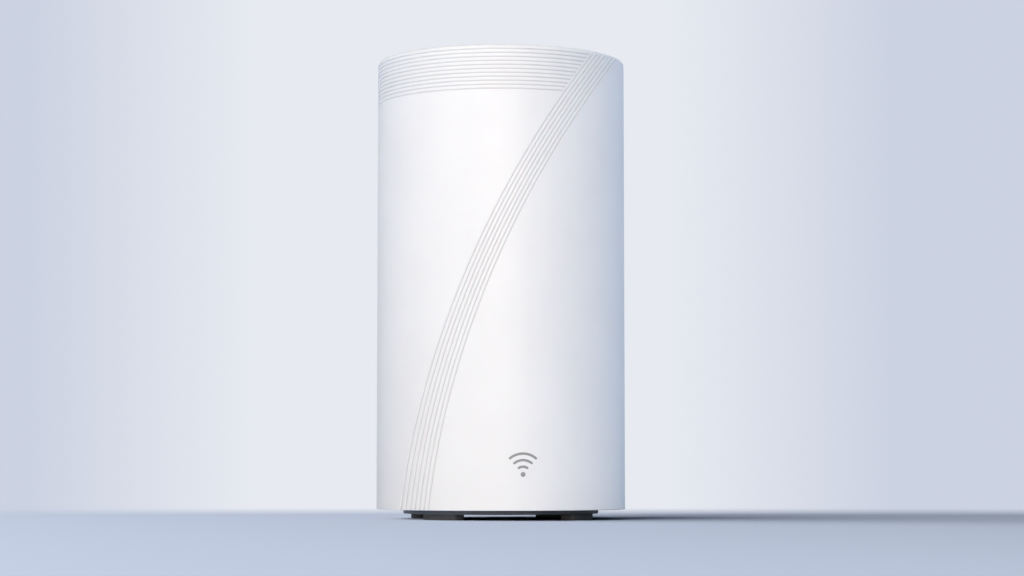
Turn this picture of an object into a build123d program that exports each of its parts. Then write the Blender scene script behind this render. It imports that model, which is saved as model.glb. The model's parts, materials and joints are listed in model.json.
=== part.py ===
from build123d import *
from math import cos, radians, sin
import os

# A free-standing mesh wifi node: a white cylindrical casing with fine grooves, a dark recessed foot,
# a port bay at the back, and a vertical board with heat sinks, antennas and a fan inside.
# Frame: origin on the axis at the plane the feet rest on. +Z is up, -Y is the front, +Y the port side.
# All sizes are in millimetres.

# ---- Casing -------------------------------------------------------------------------------------
HEIGHT = 236.0                # feet to rim
SHELL_R = 64.0
SHELL_WALL = 2.2
SHELL_BORE_R = SHELL_R - SHELL_WALL
SHELL_BOTTOM = 5.0            # gap under the white casing
RIM_ROUND = 1.2
FOOT_EDGE_ROUND = 0.4
LEDGE_BOTTOM = 231.0          # the inner ledge that carries the top grille
LEDGE_TOP = 233.2
LEDGE_R = 58.5
RECESS_R = 61.2
TAB_R = 54.6                  # screw tabs on the ledge, one on each axis
TAB_LENGTH, TAB_WIDTH = 12.0, 7.6
TAB_HOLE_R, TAB_CBORE_R, TAB_CBORE_DEPTH = 1.25, 2.3, 1.3

# ---- Grooves in the casing ----------------------------------------------------------------------
GROOVE_WIDTH = 0.7
GROOVE_DEPTH = 0.4
RING_COUNT = 11               # level grooves under the rim
RING_TOP = 233.7
RING_PITCH = 1.99
RING_GAP = 1.2                # plain strip between a level groove's end and the sweep
SWEEP_COUNT = 7               # grooves that sweep from the rim down to the foot
SWEEP_PITCH = 1.94
SWEEP_X = 364.2               # centre of the sweep's arcs, seen from the front
SWEEP_Z = -34.0
SWEEP_R = 422.1               # the outermost arc
SWEEP_TOP = 234.5             # the sweep stops just under the rounded rim

# ---- Front badge: a plain signal pictogram -----------------------------------------------------
BADGE_Z = 22.8                # centre of the dot
BADGE_STROKE = 1.2
BADGE_RADII = (3.8, 7.0, 10.2)
BADGE_DOT_R = 1.2
BADGE_SPREAD = 43.0           # half angle of the arcs, degrees
BADGE_DEPTH = 0.4

# ---- Base and feet ------------------------------------------------------------------------------
BASE_R = 50.2                 # the plinth seen under the casing
BASE_BOTTOM = 2.8
BASE_WALL = 2.4
DECK_BOTTOM = 6.5             # ring that closes the casing around the plinth
DECK_TOP = DECK_BOTTOM + BASE_WALL
SKIRT_R = 61.4
SKIRT_TOP = 12.5
SKIRT_WALL = 2.0
VENT_COUNT = 48
VENT_R = 33.0
FOOT_ANGLES = (40, 140, 220, 320)
FOOT_INNER_R = 41.4
FOOT_OUTER_R = 49.4
FOOT_HALF_ANGLE = 13.0
FOOT_POCKET = 0.6
DIAGONALS = (45, 135, 225, 315)
BOSS_R = 45.0                 # the four base screws stand on the diagonals, hidden by the feet
BOSS_OUTER_R = 4.6
BOSS_TOP = 15.0

# ---- Inner frame --------------------------------------------------------------------------------
RING_BOTTOM_Z = 21.0
RING_TOP_Z = 24.0
PLATE_BOTTOM_Z = 203.0
PLATE_TOP_Z = 206.0
FRAME_R = 58.5
POST_FACE_R = 55.5            # outer face of the posts, where the antennas sit
POST_WIDTH = 10.0
POST_DEPTH = 2.5
REAR_POST_BOTTOM = 96.0

# ---- Main board and what it carries -------------------------------------------------------------
BOARD_T = 1.6
BOARD_FACE = BOARD_T / 2      # the board stands in the plane x = 0
BOARD_FRONT = -48.0
BOARD_REAR = 46.0
BOARD_BOTTOM = 16.0
BOARD_TOP = 198.0
SINK_BOTTOM = 98.0
SINK_TOP = 198.0
SINK_HALF_DEPTH = 38.0
SINK_FACE = 4.8               # inner face of the heat sink's plate, from x = 0
SINK_PLATE = 3.0
SINK_R = 49.5
FIN_COUNT = 13
FIN_PITCH = 6.0
FIN_T = 1.4
SINK_SCREWS = ((-33.0, 104.0), (33.0, 104.0), (-33.0, 190.0), (33.0, 190.0))
SHIELD_TOP = 3.8              # outer face of the shielding cans, from x = 0
SHIELDS = ((0.0, 166.0, 54.0, 40.0), (0.0, 122.0, 54.0, 32.0))      # y, z, width, height

# ---- Port bay -----------------------------------------------------------------------------------
BAY_W = 37.0
BAY_H = 78.0
BAY_Z = 52.0
BAY_CORNER = 7.0
PANEL_FACE = 49.5             # outer face of the port panel, from the axis
PANEL_T = 2.0
PORT_FACE = 49.3
BEZEL_GAP = 0.2
BEZEL_WALL = 1.6
LAN_ZS = (25.9, 43.3, 60.7, 78.1)
LAN_W, LAN_H, LAN_D = 16.0, 13.4, 21.0
SFP_Z, SFP_W, SFP_H, SFP_D = 60.0, 14.2, 9.8, 47.0
SFP_RISE = 0.1                # height of the cage and the serial socket over the board
USB_Z, USB_W, USB_H, USB_D = 41.5, 13.2, 5.8, 14.0
USB_RISE = 0.3
POWER_Z, POWER_W, POWER_H, POWER_D = 24.0, 9.2, 10.8, 14.0
POWER_X = -6.2
POWER_BORE_R = 3.05
POWER_PIN_R = 1.0
PAIR_X, PAIR_Z, PAIR_R = -8.0, 79.0, 4.0

# ---- Status board, light and reset --------------------------------------------------------------
STATUS_Z = 16.0
STATUS_T = 1.2
STATUS_R = 55.0
RESET_ANGLE = -35.0           # from +X, so to the right of the front

# ---- Fan ----------------------------------------------------------------------------------------
FAN_SIDE = 80.0
FAN_T = 15.0
FAN_BORE_R = 38.2
FAN_HOLES = 71.5
HUB_R = 15.5
BLADE_TIP_R = 37.2
BLADE_COUNT = 7

os.makedirs("parts", exist_ok=True)


def save(part, label):
    part.label = label
    export_step(part, f"parts/{label}.step")


def polar(radius, degrees, z):
    return (radius * cos(radians(degrees)), radius * sin(radians(degrees)), z)


def radial_plane(degrees):
    """The upright plane through the axis whose x points outwards at this angle."""
    a = radians(degrees)
    return Plane(origin=(0, 0, 0), x_dir=(cos(a), sin(a), 0), z_dir=(sin(a), -cos(a), 0))


def block(x0, x1, y0, y1, z0, z1, mode=Mode.ADD):
    """A plain box between two corners, made inside the part that is open."""
    with Locations(((x0 + x1) / 2, (y0 + y1) / 2, (z0 + z1) / 2)):
        Box(x1 - x0, y1 - y0, z1 - z0, mode=mode)


def wire_solid(points, radius, bend):
    """A round wire along straight runs with rounded bends."""
    with BuildPart() as wire:
        with BuildLine() as path:
            FilletPolyline(*points, radius=bend)
        with BuildSketch(Plane(origin=path.line @ 0, z_dir=path.line % 0)):
            Circle(radius)
        sweep(path=path.line)
    return wire.part


# ================================================================================================
# Casing
# ================================================================================================

# The thin skin of the casing that the grooves and the badge bite into.
def skin(depth):
    with BuildPart() as layer:
        with BuildSketch(Plane.XY.offset(SHELL_BOTTOM - 1)):
            Circle(SHELL_R + 1)
            Circle(SHELL_R - depth, mode=Mode.SUBTRACT)
        extrude(amount=HEIGHT - SHELL_BOTTOM + 2)
    return layer.part


def badge_outline():
    """Three nested arcs over a dot, drawn in the front plane."""
    with BuildSketch(Plane.XZ) as badge:
        with Locations((0, BADGE_Z)):
            for r in reversed(BADGE_RADII):
                Circle(r + BADGE_STROKE / 2)
                Circle(r - BADGE_STROKE / 2, mode=Mode.SUBTRACT)
        # keep the part of the rings inside the wedge above the dot
        reach = 2 * BADGE_RADII[-1]
        side = reach * sin(radians(BADGE_SPREAD))
        top = reach * cos(radians(BADGE_SPREAD))
        with BuildLine():
            Polyline((0, BADGE_Z), (side, BADGE_Z + top), (-side, BADGE_Z + top), (0, BADGE_Z))
        make_face(mode=Mode.INTERSECT)
        with Locations((0, BADGE_Z)):
            Circle(BADGE_DOT_R)
    return badge.sketch


with BuildPart() as front_badge:
    add(extrude(badge_outline(), amount=SHELL_R + 1))
    add(skin(BADGE_DEPTH), mode=Mode.INTERSECT)
    with BuildSketch(Plane.XY):
        Circle(SHELL_R)
    extrude(amount=HEIGHT, mode=Mode.INTERSECT)

# Level grooves: full rings, kept only on the left of the sweep's first arc.
with BuildPart() as level_grooves:
    for i in range(RING_COUNT):
        with BuildSketch(Plane.XY.offset(RING_TOP - i * RING_PITCH - GROOVE_WIDTH / 2)):
            Circle(SHELL_R + 1)
            Circle(SHELL_R - GROOVE_DEPTH, mode=Mode.SUBTRACT)
        extrude(amount=GROOVE_WIDTH)
    with BuildSketch(Plane.XZ):
        with Locations((SWEEP_X, SWEEP_Z)):
            Circle(SWEEP_R + RING_GAP)
    extrude(amount=SHELL_R + 2, both=True, mode=Mode.SUBTRACT)

# Sweeping grooves: concentric arcs pushed straight through the casing from front to back.
with BuildPart() as sweep_grooves:
    with BuildSketch(Plane.XZ):
        with Locations((SWEEP_X, SWEEP_Z)):
            for i in range(SWEEP_COUNT):
                Circle(SWEEP_R - i * SWEEP_PITCH + GROOVE_WIDTH / 2)
                Circle(SWEEP_R - i * SWEEP_PITCH - GROOVE_WIDTH / 2, mode=Mode.SUBTRACT)
    extrude(amount=SHELL_R + 2, both=True)
    with BuildSketch(Plane.XY.offset(SHELL_BOTTOM - 1)):
        Circle(SHELL_R + 1)
        Circle(SHELL_R - GROOVE_DEPTH, mode=Mode.SUBTRACT)
    extrude(amount=SWEEP_TOP - SHELL_BOTTOM + 1, mode=Mode.INTERSECT)

with BuildPart() as outer_shell:
    with BuildSketch(Plane.XY.offset(SHELL_BOTTOM)):
        Circle(SHELL_R)
    extrude(amount=HEIGHT - SHELL_BOTTOM)
    rims = outer_shell.edges().filter_by(GeomType.CIRCLE).sort_by(Axis.Z)
    fillet(rims[-1], RIM_ROUND)
    fillet(outer_shell.edges().filter_by(GeomType.CIRCLE).sort_by(Axis.Z)[0], FOOT_EDGE_ROUND)
    for radius, bottom, top in (
        (SHELL_BORE_R, SHELL_BOTTOM, LEDGE_BOTTOM),
        (LEDGE_R, LEDGE_BOTTOM, LEDGE_TOP),
        (RECESS_R, LEDGE_TOP, HEIGHT),
    ):
        with BuildSketch(Plane.XY.offset(bottom)):
            Circle(radius)
        extrude(amount=top - bottom, mode=Mode.SUBTRACT)
    # screw tabs on the ledge
    with BuildSketch(Plane.XY.offset(LEDGE_BOTTOM)):
        with PolarLocations(TAB_R, 4):
            SlotOverall(TAB_LENGTH, TAB_WIDTH)
        Circle(SHELL_BORE_R, mode=Mode.INTERSECT)
    extrude(amount=LEDGE_TOP - LEDGE_BOTTOM)
    with Locations(Plane.XY.offset(LEDGE_TOP)):
        with PolarLocations(TAB_R, 4):
            CounterBoreHole(TAB_HOLE_R, TAB_CBORE_R, TAB_CBORE_DEPTH, LEDGE_TOP - LEDGE_BOTTOM)
    with BuildSketch(Plane.XZ):
        with Locations((0, BAY_Z)):
            RectangleRounded(BAY_W, BAY_H, BAY_CORNER)
    extrude(amount=-SHELL_R - 1, mode=Mode.SUBTRACT)
    add(level_grooves.part, mode=Mode.SUBTRACT)
    add(sweep_grooves.part, mode=Mode.SUBTRACT)
    add(front_badge.part, mode=Mode.SUBTRACT)

save(outer_shell.part, "outer_shell")
save(front_badge.part, "front_badge")

# Top grille: a disc with rings of slots, held by four barbed legs under the casing's ledge.
GRILLE_R = 60.8
GRILLE_TOP = 235.0
SLOT_FIRST_R, SLOT_STEP, SLOT_RINGS, SLOT_WIDTH = 20.0, 4.0, 9, 1.8
SPOKE_COUNT, SPOKE_WIDTH = 8, 3.6
LEG_INNER_R, LEG_OUTER_R, LEG_BARB_R, LEG_WIDTH = 56.4, 58.0, 59.4, 8.0
LEG_BOTTOM, LEG_BARB_Z = 227.0, 230.8
with BuildPart() as top_grille:
    with BuildSketch(Plane.XY.offset(LEDGE_TOP)):
        Circle(GRILLE_R)
    extrude(amount=GRILLE_TOP - LEDGE_TOP)
    fillet(top_grille.edges().filter_by(GeomType.CIRCLE).sort_by(Axis.Z)[-1], 0.5)
    with BuildSketch(Plane.XY.offset(LEDGE_TOP)):
        for i in reversed(range(SLOT_RINGS)):
            Circle(SLOT_FIRST_R + i * SLOT_STEP + SLOT_WIDTH / 2)
            Circle(SLOT_FIRST_R + i * SLOT_STEP - SLOT_WIDTH / 2, mode=Mode.SUBTRACT)
        with PolarLocations(GRILLE_R / 2, SPOKE_COUNT, start_angle=180 / SPOKE_COUNT):
            Rectangle(GRILLE_R, SPOKE_WIDTH, mode=Mode.SUBTRACT)
    extrude(amount=GRILLE_TOP - LEDGE_TOP, mode=Mode.SUBTRACT)
    with BuildSketch(*[radial_plane(a) for a in DIAGONALS]):
        with BuildLine():
            Polyline(
                (LEG_INNER_R, LEDGE_TOP),
                (LEG_INNER_R, LEG_BOTTOM),
                (LEG_OUTER_R, LEG_BOTTOM),
                (LEG_BARB_R, LEG_BARB_Z),
                (LEG_OUTER_R, LEG_BARB_Z),
                (LEG_OUTER_R, LEDGE_TOP),
                (LEG_INNER_R, LEDGE_TOP),
            )
        make_face()
    extrude(amount=LEG_WIDTH / 2, both=True)
save(top_grille.part, "top_grille")

# ================================================================================================
# Base, feet, label
# ================================================================================================

BASE_FLOOR_TOP = BASE_BOTTOM + BASE_WALL
SCREW_HEAD_R, SCREW_HEAD_T, SCREW_R = 2.9, 2.2, 1.45
CBORE_R, CBORE_TOP, SCREW_HOLE_R = 3.3, 7.8, 1.7
LABEL_R, LABEL_POCKET, LABEL_T = 25.5, 0.4, 0.3
FOOT_CORNER_R = 2.0
FOOT_EDGE_R = 0.5
FIT = 0.1                     # gap round a part let into another
VENT_LENGTH, VENT_WIDTH = 8.0, 1.8
STATUS_POST_R, STATUS_PILOT_R, STATUS_PILOT_DEPTH = 2.4, 0.95, 5.0
STATUS_SCREWS = (-115, -65)
BASE_EDGE = 0.5
GUIDE_W, GUIDE_D = 9.0, 2.4
RESET_POINT = polar(STATUS_R, RESET_ANGLE, 0)
RESET_HOLE_R = 1.0


def foot_outline(clearance):
    """One rounded arc-shaped pad, centred on +X."""
    with BuildSketch() as pad:
        Circle(FOOT_OUTER_R + clearance)
        Circle(FOOT_INNER_R - clearance, mode=Mode.SUBTRACT)
        half = FOOT_OUTER_R * sin(radians(FOOT_HALF_ANGLE)) + clearance
        with Locations(((FOOT_INNER_R + FOOT_OUTER_R) / 2, 0)):
            Rectangle(2 * (FOOT_OUTER_R - FOOT_INNER_R), 2 * half, mode=Mode.INTERSECT)
        fillet(pad.vertices(), FOOT_CORNER_R)
    return pad.sketch


def foot_places():
    """Where the feet go, for use with Locations."""
    return [Location((0, 0, 0), (0, 0, a)) for a in FOOT_ANGLES]


with BuildPart() as base_housing:
    with BuildSketch(Plane.XZ):
        with BuildLine():
            Polyline(
                (0, BASE_BOTTOM),
                (BASE_R - BASE_EDGE, BASE_BOTTOM),
                (BASE_R, BASE_BOTTOM + BASE_EDGE),
                (BASE_R, DECK_BOTTOM),
                (SKIRT_R, DECK_BOTTOM),
                (SKIRT_R, SKIRT_TOP),
                (SKIRT_R - SKIRT_WALL, SKIRT_TOP),
                (SKIRT_R - SKIRT_WALL, DECK_TOP),
                (BASE_R - BASE_WALL, DECK_TOP),
                (BASE_R - BASE_WALL, BASE_FLOOR_TOP),
                (0, BASE_FLOOR_TOP),
                (0, BASE_BOTTOM),
            )
        make_face()
    revolve(axis=Axis.Z)
    # bosses for the base screws, posts for the status board
    with BuildSketch(Plane.XY.offset(BASE_FLOOR_TOP)):
        with Locations(*[polar(BOSS_R, a, 0) for a in DIAGONALS]):
            Circle(BOSS_OUTER_R)
    extrude(amount=BOSS_TOP - BASE_FLOOR_TOP)
    with BuildSketch(Plane.XY.offset(DECK_TOP)):
        with Locations(*[polar(STATUS_R, a, 0) for a in STATUS_SCREWS]):
            Circle(STATUS_POST_R)
    extrude(amount=STATUS_Z - DECK_TOP)
    # from below: screw counterbores, foot pockets, label pocket
    with BuildSketch(Plane.XY.offset(BASE_BOTTOM)):
        with Locations(*[polar(BOSS_R, a, 0) for a in DIAGONALS]):
            Circle(CBORE_R)
    extrude(amount=CBORE_TOP - BASE_BOTTOM, mode=Mode.SUBTRACT)
    with BuildSketch(Plane.XY.offset(CBORE_TOP)):
        with Locations(*[polar(BOSS_R, a, 0) for a in DIAGONALS]):
            Circle(SCREW_HOLE_R)
    extrude(amount=BOSS_TOP - CBORE_TOP, mode=Mode.SUBTRACT)
    with BuildSketch(Plane.XY.offset(BASE_BOTTOM)):
        with Locations(*foot_places()):
            add(foot_outline(FIT))
    extrude(amount=FOOT_POCKET, mode=Mode.SUBTRACT)
    with BuildSketch(Plane.XY.offset(BASE_BOTTOM)):
        Circle(LABEL_R + 2 * FIT)
    extrude(amount=LABEL_POCKET, mode=Mode.SUBTRACT)
    # through the floor: intake slots, light window, reset hole, status board screw holes
    with BuildSketch(Plane.XY.offset(BASE_BOTTOM)):
        with PolarLocations(VENT_R, VENT_COUNT):
            SlotOverall(VENT_LENGTH, VENT_WIDTH)
    extrude(amount=BASE_WALL, mode=Mode.SUBTRACT)
    with BuildSketch(Plane.XY.offset(DECK_BOTTOM)):
        with Locations((0, -STATUS_R)):
            Rectangle(GUIDE_W + 2 * FIT, GUIDE_D + 2 * FIT)
        with Locations(RESET_POINT):
            Circle(RESET_HOLE_R)
    extrude(amount=BASE_WALL, mode=Mode.SUBTRACT)
    with BuildSketch(Plane.XY.offset(STATUS_Z)):
        with Locations(*[polar(STATUS_R, a, 0) for a in STATUS_SCREWS]):
            Circle(STATUS_PILOT_R)
    extrude(amount=-STATUS_PILOT_DEPTH, mode=Mode.SUBTRACT)
save(base_housing.part, "base_housing")

with BuildPart() as rubber_feet:
    with BuildSketch():
        with Locations(*foot_places()):
            add(foot_outline(0.0))
    extrude(amount=BASE_BOTTOM + FOOT_POCKET)
    fillet(rubber_feet.edges().group_by(Axis.Z)[0], FOOT_EDGE_R)
save(rubber_feet.part, "rubber_feet")

with BuildPart() as base_label:
    with BuildSketch(Plane.XY.offset(BASE_BOTTOM + LABEL_POCKET - LABEL_T)):
        Circle(LABEL_R)
    extrude(amount=LABEL_T)
save(base_label.part, "base_label")


def screw(head_r, head_t, shank_r, shank_l, recess=True):
    """A cross-recessed screw along +Z: head below z = 0, shank above."""
    with BuildPart() as body:
        with BuildSketch(Plane.XY.offset(-head_t)):
            Circle(head_r)
        extrude(amount=head_t)
        fillet(body.edges().sort_by(Axis.Z)[0], head_t * 0.35)
        with BuildSketch():
            Circle(shank_r)
        extrude(amount=shank_l)
        chamfer(body.edges().sort_by(Axis.Z)[-1], shank_r * 0.3)
        with BuildSketch(Plane.XY.offset(-head_t)):
            Rectangle(head_r * 1.1, head_r * 0.3)
            Rectangle(head_r * 0.3, head_r * 1.1)
        extrude(amount=head_t * 0.6, mode=Mode.SUBTRACT)
    return body.part


with BuildPart() as base_screws:
    with Locations(*[polar(BOSS_R, a, CBORE_TOP) for a in DIAGONALS]):
        add(screw(SCREW_HEAD_R, SCREW_HEAD_T, SCREW_R, 14.0))
save(base_screws.part, "base_screws")

# ================================================================================================
# Port bay
# ================================================================================================

EAR_T, EAR_HALF, EAR_TOP, EAR_HOLE_Z = 2.2, 6.0, 101.3, 98.0
SILL_HALF, SILL_REAR, SILL_T = 8.0, 55.0, 2.0         # foot of the bezel, standing on the deck
MOUTH_SETBACK = 0.5
CUT_GAP = 0.3
BEZEL_SCREW_R, BEZEL_SCREW_HOLE_R = 1.2, 1.4
with BuildPart() as port_bezel:
    with BuildSketch(Plane.XZ.offset(-(PANEL_FACE - PANEL_T))):
        with Locations((0, BAY_Z)):
            RectangleRounded(BAY_W - 2 * BEZEL_GAP, BAY_H - 2 * BEZEL_GAP, BAY_CORNER - BEZEL_GAP)
    extrude(amount=-(SHELL_R - PANEL_FACE + PANEL_T))
    with BuildSketch(Plane.XZ.offset(-PANEL_FACE)):
        with Locations((0, BAY_Z)):
            inset = 2 * (BEZEL_GAP + BEZEL_WALL)
            RectangleRounded(BAY_W - inset, BAY_H - inset, BAY_CORNER - inset / 2)
    extrude(amount=-SHELL_R, mode=Mode.SUBTRACT)
    # the mouth follows the casing, just under its surface
    with BuildSketch():
        Circle(SHELL_R - MOUTH_SETBACK)
    extrude(amount=HEIGHT, mode=Mode.INTERSECT)
    # tab screwed to the rear post, and tab standing on the deck
    ear_bottom = BAY_Z + BAY_H / 2 - BEZEL_WALL
    ear_y = POST_FACE_R + FIT
    sill_top = BAY_Z - BAY_H / 2 + 1.0
    block(-EAR_HALF, EAR_HALF, ear_y, ear_y + EAR_T, ear_bottom, EAR_TOP)
    block(-SILL_HALF, SILL_HALF, SILL_REAR - SILL_T, SILL_REAR, DECK_TOP, sill_top)
    # cut-outs for the sockets and the button
    with BuildSketch(Plane.XZ.offset(-(PANEL_FACE - PANEL_T))):
        with Locations(*[(BOARD_FACE + LAN_H / 2, z) for z in LAN_ZS]):
            Rectangle(LAN_H + CUT_GAP, LAN_W + CUT_GAP)
        with Locations((-BOARD_FACE - SFP_H / 2 - SFP_RISE, SFP_Z)):
            Rectangle(SFP_H + CUT_GAP, SFP_W + CUT_GAP)
        with Locations((-BOARD_FACE - USB_H / 2 - USB_RISE, USB_Z)):
            Rectangle(USB_H + CUT_GAP, USB_W + CUT_GAP)
        with Locations((-BOARD_FACE - POWER_H / 2, POWER_Z)):
            Rectangle(POWER_H + CUT_GAP, POWER_W + CUT_GAP)
        with Locations((PAIR_X, PAIR_Z)):
            Circle(PAIR_R + FIT)
    extrude(amount=-PANEL_T, mode=Mode.SUBTRACT)
    with BuildSketch(Plane.XZ.offset(-ear_y)):
        with Locations((0, EAR_HOLE_Z)):
            Circle(BEZEL_SCREW_HOLE_R)
    extrude(amount=-EAR_T, mode=Mode.SUBTRACT)
save(port_bezel.part, "port_bezel")

with BuildPart() as bezel_screw:
    with Locations(Location((0, POST_FACE_R + FIT + EAR_T, EAR_HOLE_Z), (90, 0, 0))):
        add(screw(2 * BEZEL_SCREW_R, 1.6, BEZEL_SCREW_R, 8.0))
save(bezel_screw.part, "bezel_screw")

# ---- Network sockets: a steel shield around a plastic body with eight gold contacts each
SHIELD_T = 0.3
LAN_BACK = PORT_FACE - LAN_D
LAN_TOP = BOARD_FACE + LAN_H
PLUG_X0, PLUG_X1, PLUG_HALF, PLUG_DEPTH = 3.0, 10.2, 5.95, 15.0
LATCH_STEPS = ((1.2, 3.2), (2.5, 2.0))          # height above the plug space, half width
CONTACT_T, CONTACT_W, CONTACT_PITCH, CONTACT_COUNT = 0.3, 0.4, 1.02, 8

with BuildPart() as ethernet_shields:
    for z in LAN_ZS:
        block(BOARD_FACE, LAN_TOP, LAN_BACK, PORT_FACE, z - LAN_W / 2, z + LAN_W / 2)
        block(
            BOARD_FACE + SHIELD_T, LAN_TOP - SHIELD_T, LAN_BACK + SHIELD_T, PORT_FACE,
            z - LAN_W / 2 + SHIELD_T, z + LAN_W / 2 - SHIELD_T, mode=Mode.SUBTRACT,
        )
save(ethernet_shields.part, "ethernet_shields")

with BuildPart() as ethernet_bodies:
    for z in LAN_ZS:
        half = LAN_W / 2 - SHIELD_T
        front = PORT_FACE - SHIELD_T
        block(BOARD_FACE + SHIELD_T, LAN_TOP - SHIELD_T, LAN_BACK + SHIELD_T, front, z - half, z + half)
        block(PLUG_X0, PLUG_X1, front - PLUG_DEPTH, front, z - PLUG_HALF, z + PLUG_HALF, mode=Mode.SUBTRACT)
        for rise, half in LATCH_STEPS:
            block(
                PLUG_X1, PLUG_X1 + rise, front - PLUG_DEPTH, front,
                z - half, z + half, mode=Mode.SUBTRACT,
            )
save(ethernet_bodies.part, "ethernet_bodies")

# contacts: a post behind the mouth, then a spring that leans into the plug space
CONTACT_FRONT, CONTACT_BEND, CONTACT_END = 47.6, 45.6, 37.6
CONTACT_LEAN = 2.0
contact_zs = [
    z + (i - (CONTACT_COUNT - 1) / 2) * CONTACT_PITCH - CONTACT_W / 2
    for z in LAN_ZS
    for i in range(CONTACT_COUNT)
]
with BuildPart() as ethernet_contacts:
    with BuildSketch(*[Plane.XY.offset(z) for z in contact_zs]):
        with BuildLine():
            Polyline(
                (PLUG_X0, CONTACT_FRONT),
                (PLUG_X0 + CONTACT_T, CONTACT_FRONT),
                (PLUG_X0 + CONTACT_T, CONTACT_BEND),
                (PLUG_X0 + CONTACT_LEAN, CONTACT_END),
                (PLUG_X0 + CONTACT_LEAN - 0.4, CONTACT_END),
                (PLUG_X0, CONTACT_BEND - 0.1),
                (PLUG_X0, CONTACT_FRONT),
            )
        make_face()
    extrude(amount=CONTACT_W)
save(ethernet_contacts.part, "ethernet_contacts")

# ---- Power socket with its centre pin
POWER_CAVITY = 10.5
PIN_LENGTH = 8.0
with BuildPart() as power_jack:
    block(
        POWER_X - POWER_H / 2, POWER_X + POWER_H / 2, PORT_FACE - POWER_D, PORT_FACE,
        POWER_Z - POWER_W / 2, POWER_Z + POWER_W / 2,
    )
    with BuildSketch(Plane.XZ.offset(-PORT_FACE)):
        with Locations((POWER_X, POWER_Z)):
            Circle(POWER_BORE_R)
    extrude(amount=POWER_CAVITY, mode=Mode.SUBTRACT)
save(power_jack.part, "power_jack")

with BuildPart() as power_jack_pin:
    with BuildSketch(Plane.XZ.offset(-(PORT_FACE - POWER_CAVITY))):
        with Locations((POWER_X, POWER_Z)):
            Circle(POWER_PIN_R)
    extrude(amount=-PIN_LENGTH)
    chamfer(power_jack_pin.edges().sort_by(Axis.Y)[-1], 0.25)
save(power_jack_pin.part, "power_jack_pin")

# ---- Serial bus socket: folded steel shell around a contact tongue
USB_X1 = -BOARD_FACE - USB_RISE
USB_X0 = USB_X1 - USB_H
USB_BACK = PORT_FACE - USB_D
with BuildPart() as usb_shield:
    block(USB_X0, USB_X1, USB_BACK, PORT_FACE, USB_Z - USB_W / 2, USB_Z + USB_W / 2)
    block(
        USB_X0 + SHIELD_T, USB_X1 - SHIELD_T, USB_BACK + SHIELD_T, PORT_FACE,
        USB_Z - USB_W / 2 + SHIELD_T, USB_Z + USB_W / 2 - SHIELD_T, mode=Mode.SUBTRACT,
    )
save(usb_shield.part, "usb_shield")

TONGUE_T, TONGUE_HALF, TONGUE_ROOT = 1.84, 5.6, 3.0
TONGUE_GAP, TONGUE_SETBACK = 0.9, 1.2
with BuildPart() as usb_tongue:
    half = USB_W / 2 - SHIELD_T
    block(
        USB_X0 + SHIELD_T, USB_X1 - SHIELD_T, USB_BACK + SHIELD_T, USB_BACK + TONGUE_ROOT,
        USB_Z - half, USB_Z + half,
    )
    block(
        USB_X1 - TONGUE_GAP - TONGUE_T, USB_X1 - TONGUE_GAP, USB_BACK + TONGUE_ROOT,
        PORT_FACE - TONGUE_SETBACK, USB_Z - TONGUE_HALF, USB_Z + TONGUE_HALF,
    )
save(usb_tongue.part, "usb_tongue")

# ---- Optical module cage with the connector at its far end
SFP_X1 = -BOARD_FACE - SFP_RISE
SFP_X0 = SFP_X1 - SFP_H
SFP_BACK = PORT_FACE + SHIELD_T - SFP_D
with BuildPart() as sfp_cage:
    block(SFP_X0, SFP_X1, SFP_BACK, SFP_BACK + SFP_D, SFP_Z - SFP_W / 2, SFP_Z + SFP_W / 2)
    block(
        SFP_X0 + SHIELD_T, SFP_X1 - SHIELD_T, SFP_BACK + SHIELD_T, SFP_BACK + SFP_D,
        SFP_Z - SFP_W / 2 + SHIELD_T, SFP_Z + SFP_W / 2 - SHIELD_T, mode=Mode.SUBTRACT,
    )
save(sfp_cage.part, "sfp_cage")

# the connector stands this far inside the cage's floor and back; its slot takes the module's edge
EDGE_LIFT, EDGE_BACK, EDGE_DEPTH, EDGE_HALF = 2.0, 2.0, 8.0, 6.0
EDGE_SLOT_LIFT, EDGE_SLOT_T, EDGE_SLOT_DEPTH, EDGE_SLOT_HALF = 4.4, 1.4, 5.0, 4.8
with BuildPart() as sfp_connector:
    back = SFP_BACK + EDGE_BACK
    front = back + EDGE_DEPTH
    slot_x = SFP_X0 + EDGE_SLOT_LIFT
    block(SFP_X0 + EDGE_LIFT, SFP_X1 - SHIELD_T, back, front, SFP_Z - EDGE_HALF, SFP_Z + EDGE_HALF)
    block(
        slot_x, slot_x + EDGE_SLOT_T, front - EDGE_SLOT_DEPTH, front,
        SFP_Z - EDGE_SLOT_HALF, SFP_Z + EDGE_SLOT_HALF, mode=Mode.SUBTRACT,
    )
save(sfp_connector.part, "sfp_connector")

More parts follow.
